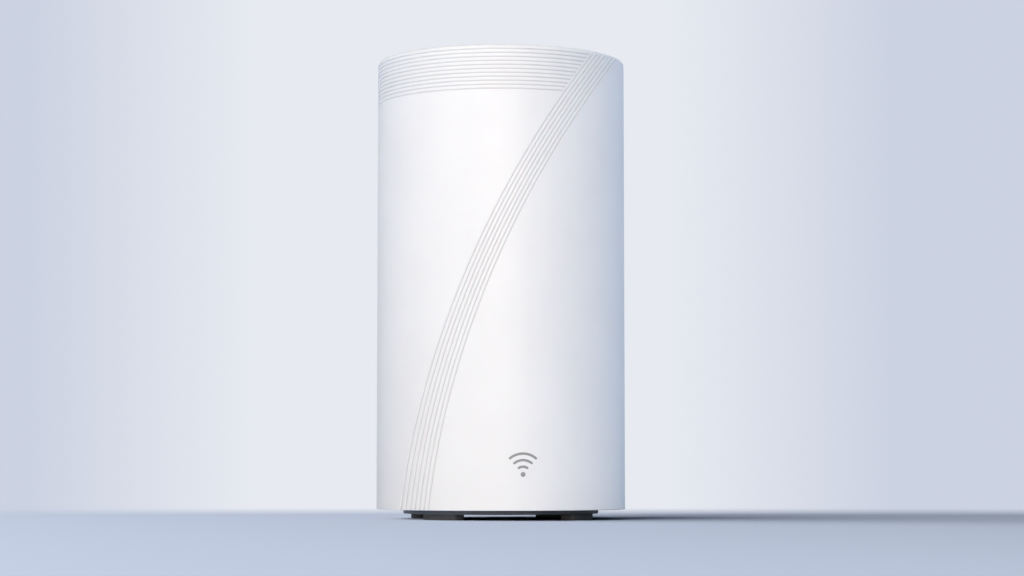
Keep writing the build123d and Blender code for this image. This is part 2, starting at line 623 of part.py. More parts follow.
# ---- Pairing button and its switch
BUTTON_PROUD = 1.0
BUTTON_FLANGE_R, BUTTON_FLANGE_T = 5.0, 1.2
PANEL_BACK = PANEL_FACE - PANEL_T
STEM_R, SWITCH_FACE, SWITCH_DEPTH = 1.5, 42.0, 1.4
STEM_REST = 0.2               # how far the stem already reaches into the switch
SWITCH_BODY, SWITCH_HALF, SWITCH_REACH = 3.8, 3.0, 3.1
with BuildPart() as pair_button:
    with BuildSketch(Plane.XZ.offset(-(PANEL_BACK - FIT))):
        with Locations((PAIR_X, PAIR_Z)):
            Circle(PAIR_R)
    extrude(amount=-(PANEL_T + BUTTON_PROUD + FIT))
    fillet(pair_button.edges().sort_by(Axis.Y)[-1], 0.5)
    with BuildSketch(Plane.XZ.offset(-(PANEL_BACK - FIT))):
        with Locations((PAIR_X, PAIR_Z)):
            Circle(BUTTON_FLANGE_R)
    extrude(amount=BUTTON_FLANGE_T)
    with BuildSketch(Plane.XZ.offset(-(SWITCH_FACE - STEM_REST))):
        with Locations((PAIR_X, PAIR_Z)):
            Circle(STEM_R)
    extrude(amount=-(PANEL_BACK - SWITCH_FACE))
save(pair_button.part, "pair_button")

with BuildPart() as pair_switch:
    block(
        PAIR_X - SWITCH_REACH, -BOARD_FACE, SWITCH_FACE - SWITCH_BODY, SWITCH_FACE,
        PAIR_Z - SWITCH_HALF, PAIR_Z + SWITCH_HALF,
    )
    with BuildSketch(Plane.XZ.offset(-SWITCH_FACE)):
        with Locations((PAIR_X, PAIR_Z)):
            Circle(STEM_R + FIT)
    extrude(amount=SWITCH_DEPTH, mode=Mode.SUBTRACT)
save(pair_switch.part, "pair_switch")

# ================================================================================================
# Inner frame: a ring, six posts, two board rails and the fan plate
# ================================================================================================

RAIL_HALF = 3.0
RAIL_SLOT = 0.9
RAIL_LAP = 1.5                # how far the board's edge sits in a rail
PLATE_BORE_R = 39.0
TAB_POST_R = 3.4
FRAME_BOSS_R = 4.2
PILOT_R = 1.5
FAN_PILOT_R = 1.55
TAB_PILOT_R, TAB_PILOT_DEPTH = 1.1, 12.0
EAR_PILOT_R, EAR_PILOT_DEPTH = 1.25, 6.5
RING_BORE_R = 41.0
PORT_OPENING = 40.0           # width of the ring's gap behind the port bay
RAIL_END = 0.2
POST_ANGLES = (0, 45, 135, 180, 225, 315)
with BuildPart() as inner_frame:
    with BuildSketch(Plane.XY.offset(RING_BOTTOM_Z)):
        Circle(FRAME_R)
        Circle(RING_BORE_R, mode=Mode.SUBTRACT)
        with Locations((0, FRAME_R / 2)):
            Rectangle(PORT_OPENING, FRAME_R, mode=Mode.SUBTRACT)
    extrude(amount=RING_TOP_Z - RING_BOTTOM_Z)
    with BuildSketch(Plane.XY.offset(BOSS_TOP)):
        with Locations(*[polar(BOSS_R, a, 0) for a in DIAGONALS]):
            Circle(FRAME_BOSS_R)
    extrude(amount=RING_TOP_Z - BOSS_TOP)
    with BuildSketch(Plane.XY.offset(PLATE_BOTTOM_Z)):
        Circle(FRAME_R)
        Circle(PLATE_BORE_R, mode=Mode.SUBTRACT)
    extrude(amount=PLATE_TOP_Z - PLATE_BOTTOM_Z)
    # posts that carry the antennas
    with BuildSketch(Plane.XY.offset(RING_TOP_Z)):
        for a in POST_ANGLES:
            with Locations(Location(polar(POST_FACE_R - POST_DEPTH / 2, a, 0), (0, 0, a))):
                Rectangle(POST_DEPTH, POST_WIDTH)
    extrude(amount=PLATE_BOTTOM_Z - RING_TOP_Z)
    # front and rear rails, each slotted for an edge of the board and faced with a post
    half = POST_WIDTH / 2
    post_y = POST_FACE_R - POST_DEPTH
    block(-RAIL_HALF, RAIL_HALF, -post_y, BOARD_FRONT + RAIL_LAP, RING_TOP_Z, PLATE_BOTTOM_Z)
    block(-RAIL_HALF, RAIL_HALF, BOARD_REAR - RAIL_LAP, post_y, REAR_POST_BOTTOM, PLATE_BOTTOM_Z)
    block(-half, half, -POST_FACE_R, -post_y, RING_TOP_Z, PLATE_BOTTOM_Z)
    block(-half, half, post_y, POST_FACE_R, REAR_POST_BOTTOM, PLATE_BOTTOM_Z)
    block(
        -RAIL_SLOT, RAIL_SLOT, BOARD_FRONT - RAIL_END, BOARD_REAR + RAIL_END,
        BOARD_BOTTOM, BOARD_TOP + RAIL_END, mode=Mode.SUBTRACT,
    )
    # posts up to the casing's screw tabs
    with BuildSketch(Plane.XY.offset(PLATE_TOP_Z)):
        with PolarLocations(TAB_R, 4):
            Circle(TAB_POST_R)
    extrude(amount=LEDGE_BOTTOM - PLATE_TOP_Z)
    # pilot holes
    with BuildSketch(Plane.XY.offset(LEDGE_BOTTOM)):
        with PolarLocations(TAB_R, 4):
            Circle(TAB_PILOT_R)
    extrude(amount=-TAB_PILOT_DEPTH, mode=Mode.SUBTRACT)
    with BuildSketch(Plane.XY.offset(BOSS_TOP)):
        with Locations(*[polar(BOSS_R, a, 0) for a in DIAGONALS]):
            Circle(PILOT_R)
    extrude(amount=RING_TOP_Z - BOSS_TOP, mode=Mode.SUBTRACT)
    with BuildSketch(Plane.XY.offset(PLATE_BOTTOM_Z)):
        with GridLocations(FAN_HOLES, FAN_HOLES, 2, 2):
            Circle(FAN_PILOT_R)
    extrude(amount=PLATE_TOP_Z - PLATE_BOTTOM_Z, mode=Mode.SUBTRACT)
    with BuildSketch(Plane.XZ.offset(-POST_FACE_R)):
        with Locations((0, EAR_HOLE_Z)):
            Circle(EAR_PILOT_R)
    extrude(amount=EAR_PILOT_DEPTH, mode=Mode.SUBTRACT)
save(inner_frame.part, "inner_frame")

with BuildPart() as shell_screws:
    seat_z = LEDGE_TOP - TAB_CBORE_DEPTH
    with Locations(*[Location(polar(TAB_R, a, seat_z), (180, 0, 0)) for a in (0, 90, 180, 270)]):
        add(screw(2.0, 1.1, 1.05, 11.0))
save(shell_screws.part, "shell_screws")

# ================================================================================================
# Main board
# ================================================================================================

BOARD_CORNER_R = 1.0
BOARD_HOLE_R = 1.4
with BuildPart() as main_board:
    with BuildSketch(Plane.YZ.offset(-BOARD_FACE)):
        with Locations(((BOARD_FRONT + BOARD_REAR) / 2, (BOARD_BOTTOM + BOARD_TOP) / 2)):
            RectangleRounded(BOARD_REAR - BOARD_FRONT, BOARD_TOP - BOARD_BOTTOM, BOARD_CORNER_R)
        with Locations(*SINK_SCREWS):
            Circle(BOARD_HOLE_R, mode=Mode.SUBTRACT)
    extrude(amount=BOARD_T)
save(main_board.part, "main_board")


SHIELD_CAN_T = 0.2
with BuildPart() as rf_shields:
    for side in (1, -1):
        for y, z, width, height in SHIELDS:
            inner, outer = side * BOARD_FACE, side * SHIELD_TOP
            block(
                min(inner, outer), max(inner, outer),
                y - width / 2, y + width / 2, z - height / 2, z + height / 2,
            )
            outer = side * (SHIELD_TOP - SHIELD_CAN_T)
            block(
                min(inner, outer), max(inner, outer),
                y - width / 2 + SHIELD_CAN_T, y + width / 2 - SHIELD_CAN_T,
                z - height / 2 + SHIELD_CAN_T, z + height / 2 - SHIELD_CAN_T, mode=Mode.SUBTRACT,
            )
save(rf_shields.part, "rf_shields")

# y, z, side length and height of each chip; the same set on both faces of the board
CHIPS = (
    (-12, 166, 21, 2.2),
    (13, 170, 14, 1.4),
    (13, 152, 10, 1.1),
    (-12, 122, 16, 1.6),
    (12, 122, 16, 1.6),
)
with BuildPart() as main_chips:
    for side in (1, -1):
        for y, z, width, height in CHIPS:
            inner, outer = side * BOARD_FACE, side * (BOARD_FACE + height)
            block(
                min(inner, outer), max(inner, outer),
                y - width / 2, y + width / 2, z - width / 2, z + width / 2,
            )
save(main_chips.part, "main_chips")

PAD_MARGIN = 4.0
with BuildPart() as thermal_pads:
    for side in (1, -1):
        for y, z, width, height in SHIELDS:
            inner, outer = side * SHIELD_TOP, side * SINK_FACE
            block(
                min(inner, outer), max(inner, outer),
                y - width / 2 + PAD_MARGIN, y + width / 2 - PAD_MARGIN,
                z - height / 2 + PAD_MARGIN, z + height / 2 - PAD_MARGIN,
            )
save(thermal_pads.part, "thermal_pads")

SINK_SCREW_R = 1.2
SPACER_R = 3.0


def heat_sink(side, hole_r):
    """A finned plate beside the board, on four spacers. side is 1 for right and -1 for left."""
    with BuildPart() as sink:
        with BuildSketch(Plane.XY.offset(SINK_BOTTOM)):
            with Locations((side * (SINK_FACE + SINK_PLATE / 2), 0)):
                Rectangle(SINK_PLATE, 2 * SINK_HALF_DEPTH)
            with Locations((side * (SINK_FACE + SINK_R / 2), 0)):
                with GridLocations(0, FIN_PITCH, 1, FIN_COUNT):
                    Rectangle(SINK_R, FIN_T)
            Circle(SINK_R, mode=Mode.INTERSECT)
        extrude(amount=SINK_TOP - SINK_BOTTOM)
        with BuildSketch(Plane.YZ.offset(side * BOARD_FACE)):
            with Locations(*SINK_SCREWS):
                Circle(SPACER_R)
        extrude(amount=side * (SINK_FACE - BOARD_FACE))
        with BuildSketch(Plane.YZ.offset(side * BOARD_FACE)):
            with Locations(*SINK_SCREWS):
                Circle(hole_r)
        extrude(amount=side * (SINK_FACE + SINK_PLATE), mode=Mode.SUBTRACT)
    return sink.part


save(heat_sink(1, SINK_SCREW_R + 0.2), "heat_sink_right")
save(heat_sink(-1, SINK_SCREW_R + 0.05), "heat_sink_left")

with BuildPart() as heat_sink_screws:
    with Locations(*[Location((SINK_FACE + SINK_PLATE, y, z), (0, -90, 0)) for y, z in SINK_SCREWS]):
        add(screw(2.0, 1.5, SINK_SCREW_R, 14.0))
save(heat_sink_screws.part, "heat_sink_screws")

# ---- Lower half of the board: network transformers, power coils, capacitors, cable headers
LAN_CORE_T, LAN_CORE_FRONT, LAN_CORE_REAR, LAN_CORE_HALF = 5.6, 8.0, 23.0, 6.6
with BuildPart() as lan_transformers:
    for z in LAN_ZS:
        block(
            BOARD_FACE, BOARD_FACE + LAN_CORE_T, LAN_CORE_FRONT, LAN_CORE_REAR,
            z - LAN_CORE_HALF, z + LAN_CORE_HALF,
        )
save(lan_transformers.part, "lan_transformers")

COIL_YS, COIL_Z, COIL_HALF, COIL_T = (-30.0, -18.0, -6.0), 84.0, 4.0, 4.2
with BuildPart() as power_coils:
    for y in COIL_YS:
        block(
            -BOARD_FACE - COIL_T, -BOARD_FACE, y - COIL_HALF, y + COIL_HALF,
            COIL_Z - COIL_HALF, COIL_Z + COIL_HALF,
        )
save(power_coils.part, "power_coils")

CAN_PLACES = ((-30, 30), (-18, 30), (-6, 30), (8, 30), (22, 32))
CAN_R, CAN_HEIGHT, CAN_EDGE_R = 4.0, 11.0, 0.6
with BuildPart() as capacitors:
    with BuildSketch(Plane.YZ.offset(-BOARD_FACE)):
        with Locations(*CAN_PLACES):
            Circle(CAN_R)
    extrude(amount=-CAN_HEIGHT)
    fillet(capacitors.edges().group_by(Axis.X)[0], CAN_EDGE_R)
save(capacitors.part, "capacitors")

HEADER_T = 3.6
HEADER_Z, HEADER_HALF, HEADER_YS = 193.5, 3.5, (-44.5, -38.5)
STATUS_PLUG_Z, STATUS_PLUG_HALF, STATUS_PLUG_YS = 18.5, 2.0, (-46.0, -42.0)
with BuildPart() as cable_headers:
    block(BOARD_FACE, BOARD_FACE + HEADER_T, *HEADER_YS, HEADER_Z - HEADER_HALF, HEADER_Z + HEADER_HALF)
    block(
        -BOARD_FACE - HEADER_T, -BOARD_FACE, *STATUS_PLUG_YS,
        STATUS_PLUG_Z - STATUS_PLUG_HALF, STATUS_PLUG_Z + STATUS_PLUG_HALF,
    )
save(cable_headers.part, "cable_headers")

# ================================================================================================
# Antennas and their cables
# ================================================================================================

ANTENNA_T, ANTENNA_W = 0.8, 12.0
ANTENNA_BOTTOM, ANTENNA_TOP = 152.0, 192.0
CABLE_R, CABLE_CIRCLE_R = 0.6, 58.4
PLUG_Y, PLUG_R, PLUG_RISE = -43.0, 1.6, 2.8
CABLE_STEP = 15.0             # degrees between the corners of a cable's run round the frame
CABLE_BEND = 2.0
TURN_IN = 9.0                 # degrees from the front where the cables turn in to the board
TURN_POINT = (6.0, -47.5)     # beside the front rail
# antenna angle measured from the front, and the height at which its cable runs round
RIGHT_ANTENNAS = ((45, 144.0), (90, 132.0), (135, 120.0), (180, 108.0))
LEFT_ANTENNAS = ((0, 144.0), (-45, 132.0), (-90, 120.0), (-135, 108.0))
FRONT = -90.0

with BuildPart() as antennas:
    with BuildSketch(Plane.XY.offset(ANTENNA_BOTTOM)):
        for turn, _ in RIGHT_ANTENNAS + LEFT_ANTENNAS:
            a = FRONT + turn
            with Locations(Location(polar(POST_FACE_R + ANTENNA_T / 2, a, 0), (0, 0, a))):
                Rectangle(ANTENNA_T, ANTENNA_W)
    extrude(amount=ANTENNA_TOP - ANTENNA_BOTTOM)
save(antennas.part, "antennas")

with BuildPart() as antenna_plugs:
    with BuildSketch(Plane.YZ.offset(BOARD_FACE)):
        with Locations(*[(PLUG_Y, z) for _, z in RIGHT_ANTENNAS]):
            Circle(PLUG_R)
    extrude(amount=PLUG_RISE)
    with BuildSketch(Plane.YZ.offset(-BOARD_FACE)):
        with Locations(*[(PLUG_Y, z) for _, z in LEFT_ANTENNAS]):
            Circle(PLUG_R)
    extrude(amount=-PLUG_RISE)
save(antenna_plugs.part, "antenna_plugs")


def antenna_cable(turn, run_z, side):
    """Down from the antenna, round to the front, and in to its plug on the board's edge."""
    start = FRONT + turn
    end = FRONT + side * TURN_IN
    steps = max(1, round(abs(start - end) / CABLE_STEP))
    first = 0 if abs(turn) > TURN_IN else steps
    points = [polar(POST_FACE_R + ANTENNA_T + 2 * CABLE_R, start, ANTENNA_BOTTOM - 0.2)]
    for i in range(first, steps + 1):
        points.append(polar(CABLE_CIRCLE_R, start + (end - start) * i / steps, run_z))
    points.append((side * TURN_POINT[0], TURN_POINT[1], run_z))
    points.append((side * (BOARD_FACE + PLUG_R), PLUG_Y - PLUG_R - 0.5, run_z))
    return wire_solid(points, CABLE_R, CABLE_BEND)


with BuildPart() as antenna_cables:
    for side, group in ((1, RIGHT_ANTENNAS), (-1, LEFT_ANTENNAS)):
        for turn, run_z in group:
            add(antenna_cable(turn, run_z, side))
save(antenna_cables.part, "antenna_cables")

# ================================================================================================
# Status board, light and reset
# ================================================================================================

STATUS_ARC = (-128.0, -22.0)
STATUS_INNER_R, STATUS_OUTER_R = 50.4, 59.0
STATUS_TOP = STATUS_Z + STATUS_T
STATUS_HOLE_R = 1.1
with BuildPart() as status_board:
    with BuildSketch(Plane.XY.offset(STATUS_Z)):
        with BuildLine():
            a0, a1 = STATUS_ARC
            CenterArc((0, 0), STATUS_OUTER_R, a0, a1 - a0)
            CenterArc((0, 0), STATUS_INNER_R, a0, a1 - a0)
            Line(polar(STATUS_INNER_R, a0, 0), polar(STATUS_OUTER_R, a0, 0))
            Line(polar(STATUS_INNER_R, a1, 0), polar(STATUS_OUTER_R, a1, 0))
        make_face()
        with Locations(*[polar(STATUS_R, a, 0) for a in STATUS_SCREWS]):
            Circle(STATUS_HOLE_R, mode=Mode.SUBTRACT)
    extrude(amount=STATUS_T)
save(status_board.part, "status_board")

with BuildPart() as status_board_screws:
    with Locations(*[Location(polar(STATUS_R, a, STATUS_TOP), (180, 0, 0)) for a in STATUS_SCREWS]):
        add(screw(1.8, 1.1, 0.9, 5.6))
save(status_board_screws.part, "status_board_screws")

LED_T, LED_HALF_W, LED_HALF_D = 1.0, 2.5, 1.0
with BuildPart() as status_led:
    block(
        -LED_HALF_W, LED_HALF_W, -STATUS_R - LED_HALF_D, -STATUS_R + LED_HALF_D,
        STATUS_Z - LED_T, STATUS_Z,
    )
save(status_led.part, "status_led")

GUIDE_CORNER_R = 0.6
GUIDE_PROUD = 0.2             # below the deck
GUIDE_AIR = 0.3               # between the guide and the light
GUIDE_FLANGE, GUIDE_FLANGE_T = 1.5, 1.2
with BuildPart() as light_guide:
    with BuildSketch(Plane.XY.offset(DECK_BOTTOM - GUIDE_PROUD)):
        with Locations((0, -STATUS_R)):
            RectangleRounded(GUIDE_W, GUIDE_D, GUIDE_CORNER_R)
    extrude(amount=STATUS_Z - LED_T - GUIDE_AIR - DECK_BOTTOM + GUIDE_PROUD)
    with BuildSketch(Plane.XY.offset(DECK_TOP)):
        with Locations((0, -STATUS_R)):
            RectangleRounded(GUIDE_W + 2 * GUIDE_FLANGE, GUIDE_D + GUIDE_FLANGE + 0.5, GUIDE_CORNER_R)
    extrude(amount=GUIDE_FLANGE_T)
save(light_guide.part, "light_guide")

RESET_R = 1.6
RESET_SWITCH_BOTTOM, RESET_SWITCH_SIDE, RESET_SWITCH_DEPTH = 13.6, 5.2, 1.4
with BuildPart() as reset_switch:
    with BuildSketch(Plane.XY.offset(RESET_SWITCH_BOTTOM)):
        with Locations(RESET_POINT):
            Rectangle(RESET_SWITCH_SIDE, RESET_SWITCH_SIDE)
    extrude(amount=STATUS_Z - RESET_SWITCH_BOTTOM)
    with BuildSketch(Plane.XY.offset(RESET_SWITCH_BOTTOM)):
        with Locations(RESET_POINT):
            Circle(RESET_R + FIT)
    extrude(amount=RESET_SWITCH_DEPTH, mode=Mode.SUBTRACT)
save(reset_switch.part, "reset_switch")

RESET_LIFT = 0.8              # over the deck, and as far again into the switch
with BuildPart() as reset_button:
    with BuildSketch(Plane.XY.offset(DECK_TOP + RESET_LIFT)):
        with Locations(RESET_POINT):
            Circle(RESET_R)
    extrude(amount=RESET_SWITCH_BOTTOM - DECK_TOP)
    fillet(reset_button.edges().sort_by(Axis.Z)[0], 0.3)
save(reset_button.part, "reset_button")

STATUS_WIRE_XS, STATUS_WIRE_R, STATUS_WIRE_Y = (-3.9, -2.8, -1.7), 0.45, -53.0
with BuildPart() as status_cable:
    for x in STATUS_WIRE_XS:
        corners = [
            (x, STATUS_WIRE_Y, STATUS_TOP),
            (x, STATUS_WIRE_Y, STATUS_PLUG_Z + 1.0),
            (x, STATUS_PLUG_YS[0] - 0.2, STATUS_PLUG_Z),
        ]
        add(wire_solid(corners, STATUS_WIRE_R, 1.0))
save(status_cable.part, "status_cable")

# ================================================================================================
# Fan
# ================================================================================================

FAN_BOTTOM = PLATE_TOP_Z
FAN_TOP = FAN_BOTTOM + FAN_T
FAN_CORNER_R = 4.0
FAN_HOLE_R = 2.1
WELL_FLOOR = FAN_BOTTOM + 0.8 # floor of the bearing tube
STRUT_T = 2.0
STRUT_WIDTH = 3.0
MOTOR_R = 15.0
TUBE_R, SLEEVE_R, SHAFT_R = 4.6, 3.4, 1.5
RUN_GAP = 0.03
TUBE_TOP = 216.0
CUP_BOTTOM, CUP_TOP, CUP_WALL = 209.0, 220.0, 1.5
CUP_ROUND = 0.8
HUB_BOSS_BOTTOM, HUB_BOSS_R = 216.6, 3.2
with BuildPart() as fan_housing:
    with BuildSketch(Plane.XY.offset(FAN_BOTTOM)):
        RectangleRounded(FAN_SIDE, FAN_SIDE, FAN_CORNER_R)
        Circle(FAN_BORE_R, mode=Mode.SUBTRACT)
    extrude(amount=FAN_T)
    with BuildSketch(Plane.XY.offset(FAN_BOTTOM)):
        for a in (0, 90, 180, 270):
            with Locations(Location(polar((MOTOR_R + FAN_BORE_R) / 2, a, 0), (0, 0, a))):
                Rectangle(FAN_BORE_R - MOTOR_R + 3, STRUT_WIDTH)
        Circle(MOTOR_R)
    extrude(amount=STRUT_T)
    with BuildSketch(Plane.XY.offset(FAN_BOTTOM + STRUT_T)):
        Circle(TUBE_R)
    extrude(amount=TUBE_TOP - FAN_BOTTOM - STRUT_T)
    with BuildSketch(Plane.XY.offset(WELL_FLOOR)):
        Circle(SLEEVE_R)
    extrude(amount=TUBE_TOP - WELL_FLOOR, mode=Mode.SUBTRACT)
    with BuildSketch(Plane.XY.offset(FAN_TOP)):
        with GridLocations(FAN_HOLES, FAN_HOLES, 2, 2):
            Circle(FAN_HOLE_R)
    extrude(amount=-FAN_T, mode=Mode.SUBTRACT)
save(fan_housing.part, "fan_housing")

with BuildPart() as fan_bearing:
    with BuildSketch(Plane.XY.offset(WELL_FLOOR)):
        Circle(SLEEVE_R)
        Circle(SHAFT_R + RUN_GAP, mode=Mode.SUBTRACT)
    extrude(amount=TUBE_TOP - 0.4 - WELL_FLOOR)
save(fan_bearing.part, "fan_bearing")

with BuildPart() as fan_shaft:
    with BuildSketch(Plane.XY.offset(WELL_FLOOR + 0.2)):
        Circle(SHAFT_R)
    extrude(amount=CUP_TOP - CUP_WALL - WELL_FLOOR - 0.2)
save(fan_shaft.part, "fan_shaft")

# Stator: a hub, four arms on the diagonals, and a ring of shoes with gaps between the poles.
STATOR_BOTTOM, STATOR_T = 211.0, 4.0
STATOR_HUB_R, STATOR_R, SHOE_T = 6.6, 12.2, 1.6
POLE_GAP, POLE_GAP_LENGTH = 3.2, 6.0
ARM_W, ARM_MIDDLE_R, ARM_LENGTH = 2.6, 8.5, 6.0
with BuildPart() as fan_stator:
    with BuildSketch(Plane.XY.offset(STATOR_BOTTOM)):
        Circle(STATOR_HUB_R)
        for a in DIAGONALS:
            with Locations(Location(polar(ARM_MIDDLE_R, a, 0), (0, 0, a))):
                Rectangle(ARM_LENGTH, ARM_W)
        with BuildSketch(mode=Mode.PRIVATE) as shoes:
            Circle(STATOR_R)
            Circle(STATOR_R - SHOE_T, mode=Mode.SUBTRACT)
            with PolarLocations(STATOR_R, len(DIAGONALS)):
                Rectangle(POLE_GAP_LENGTH, POLE_GAP, mode=Mode.SUBTRACT)
        add(shoes.sketch)
        Circle(TUBE_R, mode=Mode.SUBTRACT)
    extrude(amount=STATOR_T)
save(fan_stator.part, "fan_stator")

# Coils: one wound round each arm, between the hub and the shoes.
COIL_START_R, COIL_RUN, COIL_PACK = 6.8, 3.2, 1.4
with BuildPart() as fan_coils:
    for a in DIAGONALS:
        out = (cos(radians(a)), sin(radians(a)), 0)
        across = (-out[1], out[0], 0)
        middle = polar(COIL_START_R, a, STATOR_BOTTOM + STATOR_T / 2)
        with BuildSketch(Plane(origin=middle, x_dir=across, z_dir=out)):
            RectangleRounded(ARM_W + 2 * COIL_PACK, STATOR_T + 2 * COIL_PACK - 0.2, 1.0)
            Rectangle(ARM_W, STATOR_T, mode=Mode.SUBTRACT)
        extrude(amount=COIL_RUN)
save(fan_coils.part, "fan_coils")

MAGNET_BOTTOM, MAGNET_T, MAGNET_INNER_R = 210.0, 7.0, 12.8
with BuildPart() as fan_magnet:
    with BuildSketch(Plane.XY.offset(MAGNET_BOTTOM)):
        Circle(HUB_R - CUP_WALL)
        Circle(MAGNET_INNER_R, mode=Mode.SUBTRACT)
    extrude(amount=MAGNET_T)
save(fan_magnet.part, "fan_magnet")

# One blade: steep and short at the hub, flatter and longer at the tip, then trimmed to both radii.
BLADE_Z = 214.4
# distance from the axis, chord, thickness and pitch of each end
BLADE_ROOT = (HUB_R - 1.0, 13.0, 1.4, 42)
BLADE_TIP = (BLADE_TIP_R + 2.0, 22.0, 1.0, 24)
with BuildPart() as fan_blade:
    for distance, chord, thickness, pitch in (BLADE_ROOT, BLADE_TIP):
        with BuildSketch(Plane(origin=(distance, 0, BLADE_Z), x_dir=(0, 1, 0), z_dir=(1, 0, 0))):
            SlotOverall(chord, thickness, rotation=pitch)
    loft()
    with BuildSketch(Plane.XY.offset(FAN_BOTTOM)):
        Circle(BLADE_TIP_R)
        Circle(HUB_R - CUP_WALL / 2, mode=Mode.SUBTRACT)
    extrude(amount=FAN_T, mode=Mode.INTERSECT)

with BuildPart() as fan_rotor:
    with BuildSketch(Plane.XY.offset(CUP_BOTTOM)):
        Circle(HUB_R)
    extrude(amount=CUP_TOP - CUP_BOTTOM)
    fillet(fan_rotor.edges().sort_by(Axis.Z)[-1], CUP_ROUND)
    with PolarLocations(0, BLADE_COUNT):
        add(fan_blade.part)
    with BuildSketch(Plane.XY.offset(CUP_BOTTOM)):
        Circle(HUB_R - CUP_WALL)
    extrude(amount=CUP_TOP - CUP_WALL - CUP_BOTTOM, mode=Mode.SUBTRACT)
    with BuildSketch(Plane.XY.offset(HUB_BOSS_BOTTOM)):
        Circle(HUB_BOSS_R)
        Circle(SHAFT_R, mode=Mode.SUBTRACT)
    extrude(amount=CUP_TOP - CUP_WALL - HUB_BOSS_BOTTOM)
save(fan_rotor.part, "fan_rotor")

FAN_SCREW_GRIP = 2.6          # thread length in the plate
with BuildPart() as fan_screws:
    with Locations(*[
        Location((x * FAN_HOLES / 2, y * FAN_HOLES / 2, FAN_TOP), (180, 0, 0))
        for x in (1, -1) for y in (1, -1)
    ]):
        add(screw(3.4, 2.0, 1.5, FAN_T + FAN_SCREW_GRIP))
save(fan_screws.part, "fan_screws")

FAN_WIRE_XS, FAN_WIRE_R, FAN_WIRE_BEND = (1.9, 3.1), 0.5, 3.0
with BuildPart() as fan_cable:
    for x in FAN_WIRE_XS:
        corners = [
            (x, -13.0, FAN_BOTTOM - 0.6),
            (x, -30.0, FAN_BOTTOM - 0.6),
            (x, -38.0, PLATE_BOTTOM_Z - 1.0),
            (x, -41.0, HEADER_Z + HEADER_HALF + 0.3),
        ]
        add(wire_solid(corners, FAN_WIRE_R, FAN_WIRE_BEND))
save(fan_cable.part, "fan_cable")
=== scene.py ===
import json
import math

import bpy
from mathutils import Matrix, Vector


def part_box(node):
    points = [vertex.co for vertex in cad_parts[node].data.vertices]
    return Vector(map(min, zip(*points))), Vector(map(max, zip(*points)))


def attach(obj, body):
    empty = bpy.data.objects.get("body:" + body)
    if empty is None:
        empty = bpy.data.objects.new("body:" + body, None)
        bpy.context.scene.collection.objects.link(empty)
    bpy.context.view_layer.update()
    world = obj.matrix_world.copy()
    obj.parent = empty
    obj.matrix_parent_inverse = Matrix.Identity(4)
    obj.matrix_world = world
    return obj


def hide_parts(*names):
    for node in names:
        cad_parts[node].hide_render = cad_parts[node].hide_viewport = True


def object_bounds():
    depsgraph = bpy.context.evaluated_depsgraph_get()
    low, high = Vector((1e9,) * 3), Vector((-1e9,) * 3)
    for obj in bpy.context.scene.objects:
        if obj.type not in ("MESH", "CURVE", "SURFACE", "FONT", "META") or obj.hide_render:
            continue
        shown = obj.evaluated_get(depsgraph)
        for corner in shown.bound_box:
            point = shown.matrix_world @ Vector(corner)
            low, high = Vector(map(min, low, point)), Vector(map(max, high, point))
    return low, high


# Looks for a mesh wifi node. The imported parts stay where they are; the casing and its badge are rebuilt
# here as fine meshes in the same place, every part gets a procedural material, and a plain pale floor,
# soft light and a camera are set round it. Lengths are in metres, Z is up and the front faces -Y.

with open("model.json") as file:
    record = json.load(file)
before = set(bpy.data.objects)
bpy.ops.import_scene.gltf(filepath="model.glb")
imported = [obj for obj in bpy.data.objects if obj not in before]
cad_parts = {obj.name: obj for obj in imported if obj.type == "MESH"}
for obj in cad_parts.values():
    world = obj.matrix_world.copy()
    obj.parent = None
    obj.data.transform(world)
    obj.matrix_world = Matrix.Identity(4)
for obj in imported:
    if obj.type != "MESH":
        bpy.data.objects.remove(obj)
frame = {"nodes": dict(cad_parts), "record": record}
cad_low, cad_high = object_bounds()

MM = 0.001

# ------------------------------------------------------------------------------------------------
# Sizes, worked out from the frame
# ------------------------------------------------------------------------------------------------

shell_low, shell_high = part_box("outer_shell")
_, bezel_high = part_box("port_bezel")
badge_low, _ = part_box("front_badge")

SHELL_R = shell_high.x
SHELL_BOTTOM = shell_low.z
SHELL_TOP = shell_high.z
BORE_R = SHELL_R - 2.2 * MM
RIM_ROUND = 1.2 * MM
BOTTOM_ROUND = 0.4 * MM
INNER_LIP = 0.3 * MM          # bevels inside the rim and inside the bottom edge

# the recess in the top, the ledge that holds the grille in it and the screw tabs on the ledge
RECESS_R = SHELL_R - 2.8 * MM
LEDGE_R = SHELL_R - 5.5 * MM
LEDGE_TOP = SHELL_TOP - 2.8 * MM
LEDGE_BOTTOM = SHELL_TOP - 5.0 * MM
TAB_R = 54.6 * MM
TAB_LENGTH = 12.0 * MM
TAB_WIDTH = 7.6 * MM
TAB_HOLE_R = 1.25 * MM
TAB_CBORE_R = 2.3 * MM
TAB_CBORE_DEPTH = 1.3 * MM

# grooves in the casing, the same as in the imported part
GROOVE_WIDTH = 0.7 * MM
GROOVE_DEPTH = 0.4 * MM
RING_COUNT = 11
RING_TOP = SHELL_TOP - 2.3 * MM
RING_PITCH = 1.99 * MM
RING_GAP = 1.2 * MM
SWEEP_COUNT = 7
SWEEP_PITCH = 1.94 * MM
SWEEP_X = 364.2 * MM
SWEEP_Z = -34.0 * MM
SWEEP_R = 422.1 * MM
SWEEP_STOP = 1.6 * MM         # this far below the rim the sweep's grooves begin to run out
SWEEP_FADE = 0.6 * MM         # over this height

